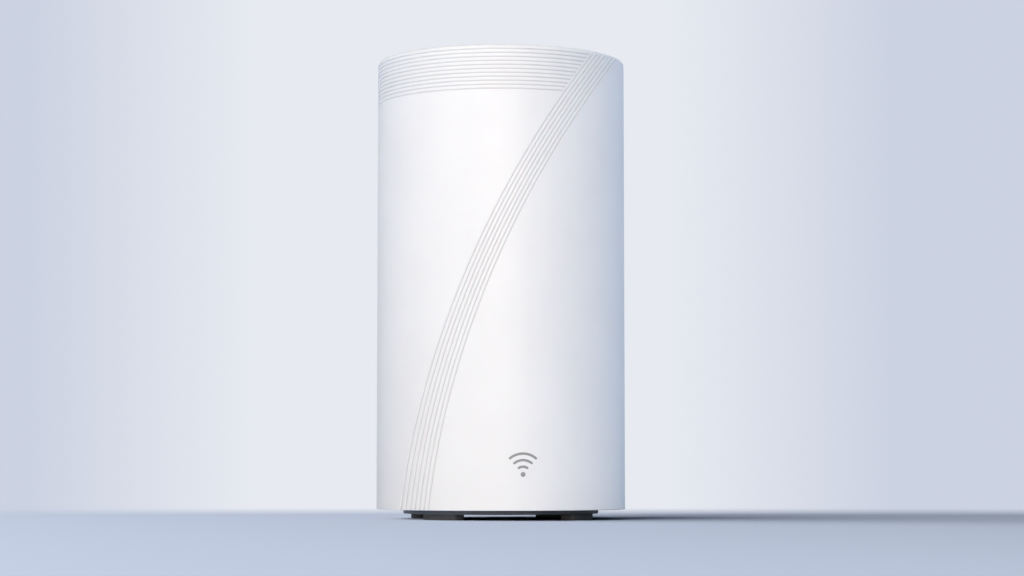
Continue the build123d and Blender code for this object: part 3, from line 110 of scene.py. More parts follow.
# the window over the port bay, a little wider than the bezel in it
WINDOW_GAP = 0.2 * MM
WINDOW_HALF_W = bezel_high.x + WINDOW_GAP
WINDOW_HALF_H = 39.0 * MM
WINDOW_Z = 52.0 * MM
WINDOW_CORNER = 7.0 * MM
WINDOW_LIP = 0.4 * MM         # rounding of its edge

# ------------------------------------------------------------------------------------------------
# Small helpers
# ------------------------------------------------------------------------------------------------


def smooth_step(t):
    """0 below t = 0, 1 above t = 1 and a smooth rise between."""
    t = min(1.0, max(0.0, t))
    return t * t * (3 - 2 * t)


def spread(low, high, count):
    """count + 1 evenly spaced values from low to high."""
    return [low + (high - low) * i / count for i in range(count + 1)]


def new_object(name, verts, faces, smooth_angle=None):
    """A mesh object in the row frame. With an angle in degrees, it is smooth up to that angle."""
    mesh = bpy.data.meshes.new(name)
    mesh.from_pydata(verts, [], faces)
    mesh.validate()
    mesh.update()
    if smooth_angle is not None:
        mesh.shade_smooth()
        mesh.set_sharp_from_angle(angle=math.radians(smooth_angle))
    obj = bpy.data.objects.new(name, mesh)
    bpy.context.scene.collection.objects.link(obj)
    return obj


def ring_faces(rows, columns, closed_rows=False):
    """Quads over a grid of vertices whose columns close on themselves."""
    faces = []
    for r in range(rows if closed_rows else rows - 1):
        above = (r + 1) % rows
        for c in range(columns):
            beside = (c + 1) % columns
            faces.append((
                r * columns + c, r * columns + beside,
                above * columns + beside, above * columns + c,
            ))
    return faces


def apply_modifiers(obj):
    """Makes the mesh what its modifiers show, and drops them."""
    graph = bpy.context.evaluated_depsgraph_get()
    old = obj.data
    obj.data = bpy.data.meshes.new_from_object(obj.evaluated_get(graph))
    obj.modifiers.clear()
    bpy.data.meshes.remove(old)
    obj.data.name = obj.name


# ------------------------------------------------------------------------------------------------
# The casing's mesh
# ------------------------------------------------------------------------------------------------

# Distance from a groove's centre line, as a share of half its width, against its depth as a share of
# the full depth: a rounded channel with a soft lip at each side.
GROOVE_PROFILE = (
    (-1.45, 0.0),
    (-1.12, 0.04),
    (-0.9, 0.32),
    (-0.62, 0.82),
    (0.0, 1.0),
    (0.62, 0.82),
    (0.9, 0.32),
    (1.12, 0.04),
    (1.45, 0.0),
)
# The casing's finish also darkens its colour by this share, as painted shade in the grooves.
GROOVE_DEPTHS = "groove"      # the mesh keeps each vertex's depth share under this name
RING_RAMP = 0.25 * MM         # length of the slope at a level groove's end
SWEEP_EDGE = 0.9999           # the sweep's arcs go no further to the side than this share of the radius

# how finely the casing is divided
LEFT_COLUMNS = 190
RIGHT_COLUMNS = 150
FIELD_ROWS = 70
INSIDE_ROWS = 60
RIM_STEPS = 8
BOTTOM_STEPS = 4
CORNER_STEPS = 14
TAB_STEPS = 48
SMOOTH_ANGLE = 40             # degrees; sharper edges than this stay sharp


def sweep_angle(z, inset):
    """Angle round the casing, 0 at the front and positive to the right, of the arc that lies this
    far inside the sweep's first one."""
    r = SWEEP_R - inset
    x = SWEEP_X - math.sqrt(r * r - (z - SWEEP_Z) ** 2)
    return math.asin(max(-SWEEP_EDGE, min(SWEEP_EDGE, x / SHELL_R)))


SWEEP_BAND = [
    (i * SWEEP_PITCH + place * GROOVE_WIDTH / 2, depth)
    for i in range(SWEEP_COUNT)
    for place, depth in GROOVE_PROFILE
]


def column_angles(z):
    """Angle, sweep depth share and ring depth share of each column at this height.

    The columns start at the sweep on the front, cross the plain right field to the sweep's mirror
    image on the back, and come round the left field, where the level grooves are, to the front.
    They follow the sweep wherever it lies, so every groove is made of unbroken strips."""
    band_right = sweep_angle(z, SWEEP_BAND[-1][0])
    ring_end = sweep_angle(z, -RING_GAP)
    ring_full = sweep_angle(z, -RING_GAP - RING_RAMP)
    columns = [(sweep_angle(z, inset), depth, 0.0) for inset, depth in SWEEP_BAND]
    for angle in spread(band_right, math.pi - band_right, RIGHT_COLUMNS)[1:-1]:
        columns.append((angle, 0.0, 0.0))
    for inset, depth in reversed(SWEEP_BAND):
        columns.append((math.pi - sweep_angle(z, inset), depth, 0.0))
    columns.append((math.pi - ring_end, 0.0, 0.0))
    for angle in spread(math.pi - ring_full, 2 * math.pi + ring_full, LEFT_COLUMNS):
        columns.append((angle, 0.0, 1.0))
    columns.append((2 * math.pi + ring_end, 0.0, 0.0))
    return columns


def outer_rows():
    """Height, radius and ring depth share of each row up the outside of the casing."""
    rows = []
    for t in spread(90, 0, BOTTOM_STEPS):
        a = math.radians(t)
        z = SHELL_BOTTOM + BOTTOM_ROUND * (1 - math.sin(a))
        rows.append((z, SHELL_R - BOTTOM_ROUND * (1 - math.cos(a)), 0.0))
    ring_bottom = RING_TOP - (RING_COUNT - 1) * RING_PITCH
    for z in spread(SHELL_BOTTOM + 2 * BOTTOM_ROUND, ring_bottom - GROOVE_WIDTH, FIELD_ROWS):
        rows.append((z, SHELL_R, 0.0))
    for i in range(RING_COUNT):
        for place, depth in GROOVE_PROFILE:
            z = ring_bottom + i * RING_PITCH + place * GROOVE_WIDTH / 2
            rows.append((z, SHELL_R, depth))
    for t in spread(0, 90, RIM_STEPS):
        a = math.radians(t)
        z = SHELL_TOP - RIM_ROUND * (1 - math.sin(a))
        rows.append((z, SHELL_R - RIM_ROUND * (1 - math.cos(a)), 0.0))
    return rows


def inner_rows():
    """Height and radius of each row from the rim down the inside and out to the bottom edge."""
    rows = [
        (SHELL_TOP, RECESS_R + INNER_LIP),
        (SHELL_TOP - INNER_LIP, RECESS_R),
        (LEDGE_TOP, RECESS_R),
        (LEDGE_TOP, LEDGE_R),
        (LEDGE_BOTTOM, LEDGE_R),
    ]
    for z in spread(LEDGE_BOTTOM, SHELL_BOTTOM + INNER_LIP, INSIDE_ROWS):
        rows.append((z, BORE_R))
    rows.append((SHELL_BOTTOM, BORE_R + INNER_LIP))
    return rows


def on_casing(angle, radius, z):
    """The point at this angle, 0 at the front, and this far from the axis."""
    return (radius * math.sin(angle), -radius * math.cos(angle), z)


def build_shell():
    """The whole casing as one closed grid: up the outside, over the rim and down the inside."""
    verts, depths = [], []
    rows = outer_rows()
    for z, radius, ring_depth in rows:
        fade = 1 - smooth_step((z - SHELL_TOP + SWEEP_STOP) / SWEEP_FADE)
        for angle, sweep_share, ring_share in column_angles(z):
            depth = max(sweep_share * fade, ring_share * ring_depth)
            verts.append(on_casing(angle, radius - GROOVE_DEPTH * depth, z))
            depths.append(depth)
    inside = inner_rows()
    for z, radius in inside:
        columns = column_angles(z)
        for angle, _, _ in columns:
            verts.append(on_casing(angle, radius, z))
            depths.append(0.0)
    faces = ring_faces(len(rows) + len(inside), len(columns), closed_rows=True)
    made = new_object("casing_shell", verts, faces, SMOOTH_ANGLE)
    made.data.attributes.new(GROOVE_DEPTHS, "FLOAT", "POINT").data.foreach_set("value", depths)
    return made


def rounded_rectangle(half_w, half_h, radius, steps):
    """Points round a rounded rectangle, with this many steps on each corner and each side."""
    arcs = []
    for side_x, side_z, start in ((1, 1, 0), (-1, 1, 90), (-1, -1, 180), (1, -1, 270)):
        centre_x = side_x * (half_w - radius)
        centre_z = side_z * (half_h - radius)
        arc = []
        for t in spread(start, start + 90, steps):
            a = math.radians(t)
            arc.append((centre_x + radius * math.cos(a), centre_z + radius * math.sin(a)))
        arcs.append(arc)
    points = []
    for arc, following in zip(arcs, arcs[1:] + arcs[:1]):
        points += arc
        (x0, z0), (x1, z1) = arc[-1], following[0]
        for t in spread(0, 1, steps)[1:-1]:
            points.append((x0 + (x1 - x0) * t, z0 + (z1 - z0) * t))
    return points


def window_cutter():
    """A plug for the port window that flares as it leaves the casing, so the edge comes out round."""
    outside = (3 * MM, 1.6 * WINDOW_LIP)
    inside = (-15 * MM, 0.0)
    # how far each level lies over the casing's surface, and how much wider than the window it is
    levels = [outside]
    for t in (75, 50, 25, 0):
        a = math.radians(t)
        levels.append((-WINDOW_LIP * (1 - math.sin(a)), WINDOW_LIP * (1 - math.cos(a))))
    levels.append(inside)
    verts = []
    for rise, grow in levels:
        half_w = WINDOW_HALF_W + grow
        half_h = WINDOW_HALF_H + grow
        outline = rounded_rectangle(half_w, half_h, WINDOW_CORNER + grow, CORNER_STEPS)
        for x, z in outline:
            verts.append((x, math.sqrt(SHELL_R ** 2 - x ** 2) + rise, WINDOW_Z + z))
    count = len(outline)
    faces = ring_faces(len(levels), count)
    faces.append(tuple(reversed(range(count))))
    faces.append(tuple(range(count * (len(levels) - 1), count * len(levels))))
    return new_object("window_cutter", verts, faces)


def screw_tabs():
    """The four tabs that reach in from the ledge, each with a counterbored screw hole."""
    half_flat = (TAB_LENGTH - TAB_WIDTH) / 2
    seat = LEDGE_TOP - TAB_CBORE_DEPTH
    # half the length of the straight sides, radius and height of each loop round a tab
    loops = (
        (half_flat, TAB_WIDTH / 2, LEDGE_BOTTOM),
        (half_flat, TAB_WIDTH / 2, LEDGE_TOP),
        (0.0, TAB_CBORE_R, LEDGE_TOP),
        (0.0, TAB_CBORE_R, seat),
        (0.0, TAB_HOLE_R, seat),
        (0.0, TAB_HOLE_R, LEDGE_BOTTOM),
    )
    verts, faces = [], []
    for quarter in range(4):
        start = len(verts)
        turn = math.pi / 2 * quarter
        for flat, radius, z in loops:
            for i in range(TAB_STEPS):
                a = 2 * math.pi * (i + 0.5) / TAB_STEPS
                out = TAB_R + math.copysign(flat, math.cos(a)) + radius * math.cos(a)
                side = radius * math.sin(a)
                x = out * math.cos(turn) - side * math.sin(turn)
                y = out * math.sin(turn) + side * math.cos(turn)
                verts.append((x, y, z))
        for face in ring_faces(len(loops), TAB_STEPS, closed_rows=True):
            faces.append(tuple(start + i for i in face))
    return new_object("screw_tabs", verts, faces, SMOOTH_ANGLE)


def combine(solid, operation, other):
    """Joins another solid to this one or cuts it away, and removes it from the scene."""
    step = solid.modifiers.new(other.name, "BOOLEAN")
    step.operation = operation
    step.solver = "EXACT"
    step.object = other
    apply_modifiers(solid)
    bpy.data.objects.remove(other)


shell = build_shell()
combine(shell, "DIFFERENCE", window_cutter())
combine(shell, "UNION", screw_tabs())
shell.data.set_sharp_from_angle(angle=math.radians(SMOOTH_ANGLE))
shell.modifiers.new("normals", "WEIGHTED_NORMAL").keep_sharp = True
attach(shell, "casing")
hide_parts("outer_shell")

# ------------------------------------------------------------------------------------------------
# The front badge: three nested arcs over a dot, printed on the casing
# ------------------------------------------------------------------------------------------------

BADGE_STROKE = 1.2 * MM
BADGE_RADII = (3.8 * MM, 7.0 * MM, 10.2 * MM)
BADGE_DOT_R = 1.2 * MM
BADGE_SPREAD = 43.0           # half angle of the arcs, degrees
BADGE_Z = badge_low.z + BADGE_DOT_R
BADGE_RISE = 0.06 * MM        # thickness of the print over the casing
BADGE_STEPS = 40
ARC_END = 0.12                # width left at the tip of an arc, as a share of the stroke
# across the stroke, as a share of half its width, against height as a share of the rise
PRINT_PROFILE = ((-1.0, -1.5), (-1.0, 0.4), (-0.9, 1.0), (0.9, 1.0), (1.0, 0.4), (1.0, -1.5))


def on_front(x, z, rise):
    """A point this far in front of the casing's surface."""
    radius = SHELL_R + rise
    return (x, -math.sqrt(radius ** 2 - x ** 2), z)


def arc_mesh(radius):
    """Vertices and faces of one arc of the badge, with rounded ends."""
    half = BADGE_STROKE / 2
    sweep = math.radians(BADGE_SPREAD)
    ends = radius * sweep
    verts = []
    for t in spread(ends, -ends, BADGE_STEPS):
        short = half - min(half, ends - abs(t))
        width = max(ARC_END * half, math.sqrt(half ** 2 - short ** 2))
        a = t / radius
        for across, lift in PRINT_PROFILE:
            r = radius + across * width
            verts.append(on_front(r * math.sin(a), BADGE_Z + r * math.cos(a), lift * BADGE_RISE))
    count = len(PRINT_PROFILE)
    faces = ring_faces(BADGE_STEPS + 1, count)
    faces.append(tuple(reversed(range(count))))
    faces.append(tuple(range(BADGE_STEPS * count, (BADGE_STEPS + 1) * count)))
    return verts, faces


def dot_mesh():
    """Vertices and faces of the badge's dot."""
    profile = PRINT_PROFILE[3:]
    verts = []
    for share, lift in profile:
        for i in range(BADGE_STEPS):
            a = 2 * math.pi * i / BADGE_STEPS
            r = BADGE_DOT_R * share
            verts.append(on_front(r * math.sin(a), BADGE_Z + r * math.cos(a), lift * BADGE_RISE))
    faces = ring_faces(len(profile), BADGE_STEPS)
    faces.append(tuple(reversed(range(BADGE_STEPS))))
    faces.append(tuple(range((len(profile) - 1) * BADGE_STEPS, len(profile) * BADGE_STEPS)))
    return verts, faces


def build_badge():
    """The arcs and the dot as one object."""
    verts, faces = [], []
    for part_verts, part_faces in [arc_mesh(r) for r in BADGE_RADII] + [dot_mesh()]:
        start = len(verts)
        verts += part_verts
        faces += [tuple(start + i for i in face) for face in part_faces]
    return new_object("signal_badge", verts, faces, smooth_angle=30)


badge = build_badge()
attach(badge, "casing")
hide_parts("front_badge")

# ------------------------------------------------------------------------------------------------
# Material kit
# ------------------------------------------------------------------------------------------------


class Finish:
    """A material being put together: short ways to add nodes and join them up."""

    def __init__(self, name, colour):
        self.material = bpy.data.materials.new(name)
        self.material.use_nodes = True
        self.tree = self.material.node_tree
        self.shader = self.tree.nodes["Principled BSDF"]
        self.colour = tuple(colour[:3])
        self.where = self.node("ShaderNodeTexCoord").outputs["Object"]
        self.put(self.shader.inputs["Base Color"], (*self.colour, 1))

    def put(self, socket, value):
        """Gives an input a value, or joins it to another node's output."""
        if isinstance(value, bpy.types.NodeSocket):
            self.tree.links.new(value, socket)
        else:
            socket.default_value = value

    def node(self, kind, inputs=None, **settings):
        """A new node of this kind, with its inputs and its settings filled in."""
        made = self.tree.nodes.new(kind)
        for name, value in settings.items():
            setattr(made, name, value)
        for name, value in (inputs or {}).items():
            self.put(made.inputs[name], value)
        return made

    def shade(self, **inputs):
        """Sets the shader's inputs; an underscore in a name stands for a space."""
        for name, value in inputs.items():
            self.put(self.shader.inputs[name.replace("_", " ")], value)

    def stretched(self, size, stretch):
        """Texture space in which one unit is this size, longer along some axes."""
        scale = [1 / (size * k) for k in stretch]
        return self.node("ShaderNodeMapping", {"Vector": self.where, "Scale": scale}).outputs["Vector"]

    def noise(self, size, detail=2.0, stretch=(1, 1, 1)):
        """Cloudy noise with patches of about this size."""
        place = self.stretched(size, stretch)
        made = self.node("ShaderNodeTexNoise", {"Vector": place, "Scale": 1.0, "Detail": detail})
        return made.outputs["Fac"]

    def carry(self, value, start, end, low, high):
        """The value's run from start to end carried over to low to high, and held beyond."""
        made = self.node("ShaderNodeMapRange", {
            "Value": value, "From Min": start, "From Max": end, "To Min": low, "To Max": high,
        })
        return made.outputs["Result"]

    def times(self, a, b):
        """The product of two values."""
        return self.node("ShaderNodeMath", {0: a, 1: b}, operation="MULTIPLY").outputs["Value"]

    def plus(self, a, b):
        """The sum of two values."""
        return self.node("ShaderNodeMath", {0: a, 1: b}, operation="ADD").outputs["Value"]

    def blend(self, share, first, second):
        """The first colour turning into the second."""
        made = self.node("ShaderNodeMixRGB", {"Fac": share})
        for socket, colour in ((made.inputs["Color1"], first), (made.inputs["Color2"], second)):
            self.put(socket, colour if isinstance(colour, bpy.types.NodeSocket) else (*colour, 1))
        return made.outputs["Color"]

    def soft_normal(self, radius):
        """Normals that round off the sharp edges of the part."""
        return self.node("ShaderNodeBevel", {"Radius": radius}, samples=4).outputs["Normal"]

    def edges(self, soft):
        """1 on edges and 0 on open faces: where the rounded normal leans away from the true one."""
        true = self.node("ShaderNodeNewGeometry").outputs["Normal"]
        lean = self.node("ShaderNodeVectorMath", {0: soft, 1: true}, operation="DOT_PRODUCT")
        return self.carry(lean.outputs["Value"], 0.75, 0.99, 1.0, 0.0)

    def bump(self, height, depth, under=None):
        """Normals that rise and fall with the height, over those given as under."""
        inputs = {"Height": height, "Distance": depth, "Strength": 1.0}
        if under is not None:
            inputs["Normal"] = under
        return self.node("ShaderNodeBump", inputs).outputs["Normal"]

    def tone(self, share):
        """The base colour made darker or lighter by this share."""
        return tuple(min(1.0, c * share) for c in self.colour)


# ------------------------------------------------------------------------------------------------
# Finishes, one function for each kind of surface
# ------------------------------------------------------------------------------------------------

GROOVE_PAINTED_SHADE = 0.3            # how far the casing's colour is darkened at the bottom of a groove, as painted shade


def casing_plastic(f, grain=0.28 * MM, depth=0.004 * MM):
    """Satin white moulding: fine texture, a hint of uneven tone, painted shade down in the grooves, faint
    handling marks."""
    cloud = f.noise(38 * MM, detail=3)
    body = f.blend(f.carry(cloud, 0.35, 0.65, 0, 1), f.tone(0.985), f.tone(1.01))
    # Painted shade: the colour darkens towards the bottom of each groove, by the depth share the mesh
    # keeps.
    down = f.node("ShaderNodeAttribute", attribute_name=GROOVE_DEPTHS).outputs["Fac"]
    f.shade(Base_Color=f.blend(f.times(down, GROOVE_PAINTED_SHADE), body, f.tone(0.2)))
    rubbed = f.noise(22 * MM, detail=5, stretch=(1, 1, 2.5))
    f.shade(Roughness=f.carry(rubbed, 0.3, 0.7, 0.40, 0.50))
    ripple = f.bump(f.noise(30 * MM, detail=1), 0.03 * MM)
    f.shade(Normal=f.bump(f.noise(grain, detail=2), depth, under=ripple))
    f.shade(Specular_IOR_Level=0.42, Subsurface_Weight=0.05, Subsurface_Scale=1.5 * MM)


def printed_mark(f):
    """Flat ink, a little uneven, with a soft sheen."""
    patch = f.noise(0.8 * MM, detail=4)
    f.shade(Base_Color=f.blend(patch, f.tone(0.93), f.tone(1.07)))
    f.shade(Roughness=f.carry(patch, 0.3, 0.7, 0.38, 0.5))
    f.shade(Normal=f.bump(f.noise(0.25 * MM), 0.004 * MM))


def moulded(f, roughness=0.5, grain=0.35 * MM, depth=0.01 * MM, edge=0.25 * MM, wear=1.5, dust=0.12):
    """Moulded plastic: grained, with softened edges rubbed lighter and a trace of dust."""
    soft = f.soft_normal(edge)
    worn = f.times(f.edges(soft), f.carry(f.noise(4 * MM, detail=4), 0.4, 0.62, 0.15, 0.8))
    cloud = f.noise(14 * MM, detail=4)
    body = f.blend(f.carry(cloud, 0.35, 0.65, 0, 1), f.tone(0.9), f.tone(1.1))
    dusty = f.blend(f.carry(f.noise(5 * MM, detail=6), 0.5, 0.8, 0, dust), body, f.tone(1.0 + wear))
    f.shade(Base_Color=f.blend(worn, dusty, f.tone(wear)))
    f.shade(Roughness=f.carry(f.noise(6 * MM, detail=3), 0.3, 0.7, roughness - 0.06, roughness + 0.08))
    f.shade(Normal=f.bump(f.noise(grain, detail=3), depth, under=soft))


def rubber(f, roughness=0.78, grain=0.5 * MM):
    """Soft matte rubber with a powdery bloom."""
    soft = f.soft_normal(0.35 * MM)
    bloom = f.noise(3.5 * MM, detail=6)
    f.shade(Base_Color=f.blend(f.carry(bloom, 0.42, 0.7, 0, 0.5), f.tone(0.9), f.tone(1.7)))
    f.shade(Roughness=f.carry(bloom, 0.3, 0.7, roughness - 0.08, roughness + 0.1))
    f.shade(Normal=f.bump(f.noise(grain, detail=4), 0.02 * MM, under=soft))
    f.shade(Specular_IOR_Level=0.3)


def brushed(f, roughness=0.3, stretch=(1, 1, 14), grain=0.12 * MM, tint=0.82):
    """Metal with a drawn or brushed grain, patchy shine and brighter edges."""
    soft = f.soft_normal(0.12 * MM)
    lines = f.noise(grain, detail=3, stretch=stretch)
    patch = f.noise(6 * MM, detail=4)
    body = f.blend(f.carry(patch, 0.3, 0.7, 0, 1), f.tone(tint), f.tone(1.04))
    f.shade(Metallic=1.0, Base_Color=f.blend(f.times(f.edges(soft), 0.5), body, f.tone(1.25)))
    even = f.carry(patch, 0.3, 0.7, roughness - 0.06, roughness + 0.08)
    f.shade(Roughness=f.plus(even, f.carry(lines, 0.3, 0.7, 0.0, 0.08)))
    f.shade(Normal=f.bump(lines, 0.006 * MM, under=soft))


def plated(f, roughness=0.2):
    """Bright plating over stamped metal."""
    soft = f.soft_normal(0.08 * MM)
    patch = f.noise(1.5 * MM, detail=4)
    f.shade(Metallic=1.0, Base_Color=f.blend(patch, f.tone(0.85), f.tone(1.08)))
    f.shade(Roughness=f.carry(patch, 0.3, 0.7, roughness - 0.05, roughness + 0.12))
    f.shade(Normal=f.bump(f.noise(0.2 * MM, detail=3), 0.004 * MM, under=soft))


def sintered(f, roughness=0.42):
    """Porous metal, with small dark pits."""
    pits = f.node("ShaderNodeTexVoronoi", {"Vector": f.stretched(0.35 * MM, (1, 1, 1)), "Scale": 1.0})
    deep = f.carry(pits.outputs["Distance"], 0.1, 0.35, 1.0, 0.0)
    f.shade(Metallic=0.9, Base_Color=f.blend(deep, f.tone(1.0), f.tone(0.35)))
    f.shade(Roughness=f.carry(f.noise(2 * MM), 0.3, 0.7, roughness - 0.05, roughness + 0.15))
    f.shade(Normal=f.bump(pits.outputs["Distance"], 0.02 * MM, under=f.soft_normal(0.1 * MM)))


def laminated(f, pitch=0.5 * MM):
    """Stacked steel sheets, seen as fine lines round the stack."""
    layers = f.node("ShaderNodeTexWave", {"Vector": f.stretched(pitch, (1, 1, 1)), "Scale": 0.31},
                    bands_direction="Z")
    f.shade(Metallic=1.0, Base_Color=f.blend(layers.outputs["Fac"], f.tone(0.55), f.tone(1.1)))
    f.shade(Roughness=f.carry(f.noise(2 * MM), 0.3, 0.7, 0.3, 0.5))
    f.shade(Normal=f.bump(layers.outputs["Fac"], 0.03 * MM))


def wound(f, pitch=0.4 * MM):
    """Enamelled wire laid side by side."""
    turns = f.node("ShaderNodeTexWave", {"Vector": f.stretched(pitch, (1, 1, 1)), "Scale": 0.31},
                   bands_direction="Z", wave_profile="SIN")
    f.shade(Metallic=0.85, Base_Color=f.blend(turns.outputs["Fac"], f.tone(0.45), f.tone(1.15)))
    f.shade(Roughness=f.carry(f.noise(1.2 * MM), 0.3, 0.7, 0.25, 0.42), Coat_Weight=0.5)
    f.shade(Normal=f.bump(turns.outputs["Fac"], 0.12 * MM))


def circuit_board(f, gold=(0.8, 0.6, 0.28)):
    """Solder mask over copper: faint tracks, plated vias and a glossy coat."""
    grid = f.stretched(1.27 * MM, (1, 1, 1))
    tracks = f.node("ShaderNodeTexBrick", {
        "Vector": grid, "Scale": 0.9, "Mortar Size": 0.06, "Mortar Smooth": 0.2, "Bias": 0.0,
        "Brick Width": 3.1, "Row Height": 0.55,
    })
    vias = f.node("ShaderNodeTexVoronoi", {"Vector": grid, "Scale": 0.55, "Randomness": 0.6})
    plated_hole = f.carry(vias.outputs["Distance"], 0.1, 0.13, 1.0, 0.0)
    mask = f.blend(tracks.outputs["Fac"], f.tone(0.85), f.tone(1.8))
    glassy = f.blend(f.carry(f.noise(9 * MM, detail=3), 0.35, 0.65, 0, 0.5), mask, f.tone(1.3))
    f.shade(Base_Color=f.blend(plated_hole, glassy, gold), Metallic=f.times(plated_hole, 0.9))
    f.shade(Roughness=f.carry(f.noise(3 * MM), 0.3, 0.7, 0.28, 0.42), Coat_Weight=0.3)
    f.shade(Normal=f.bump(tracks.outputs["Fac"], 0.02 * MM))


def label_film(f):
    """Blank metallised film with a fine brushed grain and a slightly lifted, duller rim."""
    lines = f.noise(0.15 * MM, detail=2, stretch=(1, 30, 1))
    patch = f.noise(9 * MM, detail=3)
    f.shade(Base_Color=f.blend(patch, f.tone(0.9), f.tone(1.08)), Metallic=0.55)
    f.shade(Roughness=f.plus(f.carry(patch, 0.3, 0.7, 0.34, 0.44), f.carry(lines, 0.3, 0.7, 0.0, 0.1)))
    f.shade(Normal=f.bump(lines, 0.004 * MM, under=f.soft_normal(0.2 * MM)))


def frosted(f):
    """Clear plastic that scatters light."""
    cloud = f.noise(1.5 * MM, detail=3)
    f.shade(Base_Color=f.blend(cloud, f.tone(0.92), f.tone(1.0)), Transmission_Weight=0.75, IOR=1.49)
    f.shade(Roughness=f.carry(cloud, 0.3, 0.7, 0.32, 0.5), Subsurface_Weight=0.1)
    f.shade(Normal=f.bump(f.noise(0.3 * MM), 0.01 * MM, under=f.soft_normal(0.2 * MM)))


def lens(f):
    """Clear epoxy over a die that is lit only faintly."""
    cloud = f.noise(0.9 * MM, detail=2)
    f.shade(Base_Color=f.blend(cloud, f.tone(0.9), f.tone(1.0)))
    f.shade(Roughness=f.carry(cloud, 0.3, 0.7, 0.08, 0.18), Coat_Weight=0.6)
    f.shade(Emission_Color=(*f.tone(1.0), 1), Emission_Strength=0.25)


# The finish of each of the record's material slots, with the values that set it apart.
LOOKS = {
    "casing_white": (casing_plastic, {}),
    "grille_white": (casing_plastic, {"grain": 0.24 * MM}),
    "badge_grey": (printed_mark, {}),
    "base_grey": (moulded, {"roughness": 0.46, "grain": 0.3 * MM, "wear": 1.6}),
    "feet_rubber": (rubber, {}),
    "label_silver": (label_film, {}),
    "bezel_grey": (moulded, {
        "roughness": 0.5, "grain": 0.4 * MM, "depth": 0.014 * MM, "wear": 1.08, "dust": 0.04,
    }),
    "button_grey": (moulded, {"roughness": 0.4, "grain": 0.2 * MM, "wear": 1.3}),
    "button_black": (moulded, {"roughness": 0.4, "grain": 0.2 * MM, "wear": 1.8}),
    "light_guide_clear": (frosted, {}),
    "frame_black": (moulded, {"roughness": 0.55, "wear": 1.7}),
    "fan_black": (moulded, {"roughness": 0.42, "grain": 0.25 * MM, "wear": 1.8}),
    "rotor_black": (moulded, {"roughness": 0.36, "grain": 0.2 * MM, "wear": 1.7}),
    "socket_black": (moulded, {"roughness": 0.4, "grain": 0.2 * MM, "edge": 0.12 * MM, "wear": 1.8}),
    "tongue_blue": (moulded, {"roughness": 0.38, "grain": 0.15 * MM, "edge": 0.08 * MM, "wear": 1.3}),
    "switch_black": (moulded, {"roughness": 0.4, "grain": 0.15 * MM, "edge": 0.1 * MM}),
    "header_ivory": (moulded, {"roughness": 0.42, "grain": 0.2 * MM, "edge": 0.1 * MM, "wear": 1.1}),
    "board_green": (circuit_board, {}),
    "antenna_board": (circuit_board, {}),
    "chip_black": (moulded, {"roughness": 0.5, "grain": 0.12 * MM, "edge": 0.1 * MM, "wear": 1.9}),
    "coil_grey": (moulded, {"roughness": 0.6, "grain": 0.3 * MM, "depth": 0.03 * MM, "wear": 1.4}),
    "pad_grey": (rubber, {"roughness": 0.7, "grain": 0.3 * MM}),
    "cable_grey": (rubber, {"roughness": 0.5, "grain": 0.4 * MM}),
    "cable_black": (rubber, {"roughness": 0.45, "grain": 0.4 * MM}),
    "gold_plate": (plated, {}),
    "nickel": (plated, {"roughness": 0.22}),
    "tin_steel": (brushed, {"roughness": 0.3, "stretch": (1, 10, 1)}),
    "heat_sink_aluminium": (brushed, {"roughness": 0.36}),
    "capacitor_can": (brushed, {"roughness": 0.28, "stretch": (6, 6, 1)}),
    "led_white": (lens, {}),
    "bronze": (sintered, {}),
    "shaft_steel": (brushed, {"roughness": 0.16, "stretch": (8, 8, 1)}),
    "magnet_grey": (sintered, {"roughness": 0.6}),
    "stator_steel": (laminated, {}),
    "copper_wire": (wound, {}),
    "screw_steel": (brushed, {"roughness": 0.3, "stretch": (6, 6, 1), "tint": 0.7}),
}


def make_finishes():
    """A material for every slot in the record, coloured as the record says."""
    made = {}
    for entry in frame["record"]["materials"]:
        recipe, values = LOOKS[entry["slot"]]
        finish = Finish(entry["slot"], entry["base_color"])
        recipe(finish, **values)
        made[entry["slot"]] = finish.material
    return made


def dress(obj, material):
    """Gives an object this one material."""
    obj.data.materials.clear()
    obj.data.materials.append(material)


finishes = make_finishes()
for part in frame["record"]["subparts"]:
    dress(frame["nodes"][part["node"]], finishes[part["material_slot"]])
dress(shell, finishes["casing_white"])
dress(badge, finishes["badge_grey"])

# ------------------------------------------------------------------------------------------------
# Stage: floor, background, light and camera
# ------------------------------------------------------------------------------------------------

VIEW_AZIMUTH = math.radians(-9.806)       # the camera's place round the object, 0 at the front
VIEW_DISTANCE = 1.2524
VIEW_HEIGHT = 23.1 * MM
VIEW_HEADING = math.radians(-10.07)
VIEW_PITCH = math.radians(94.392)
LENS = 85.06
FLOOR_SIZE = 60.0
FLOOR_COLOUR = (0.10, 0.118, 0.145)
BACKDROP_NEAR = (0.80, 0.825, 0.88)       # behind the object
BACKDROP_FAR = (0.60, 0.645, 0.755)       # at the sides of the picture
BACKDROP_MIDDLE = 0.45                    # its brightest place, as a share of the picture's width
BACKDROP_PLAIN = 0.2                      # it is even as far as this from there, and falls off
BACKDROP_EDGE = 0.42                      # until this far
AMBIENT_BACK = (0.723, 0.663, 0.673)      # soft light from behind, from the right and from above
AMBIENT_RIGHT = (0.278, 0.494, 0.764)
AMBIENT_TOP = (0.30, 0.31, 0.33)
HAZE_START = 0.0166                       # slope of sight at which the floor starts to fade
HAZE_END = 0.0140


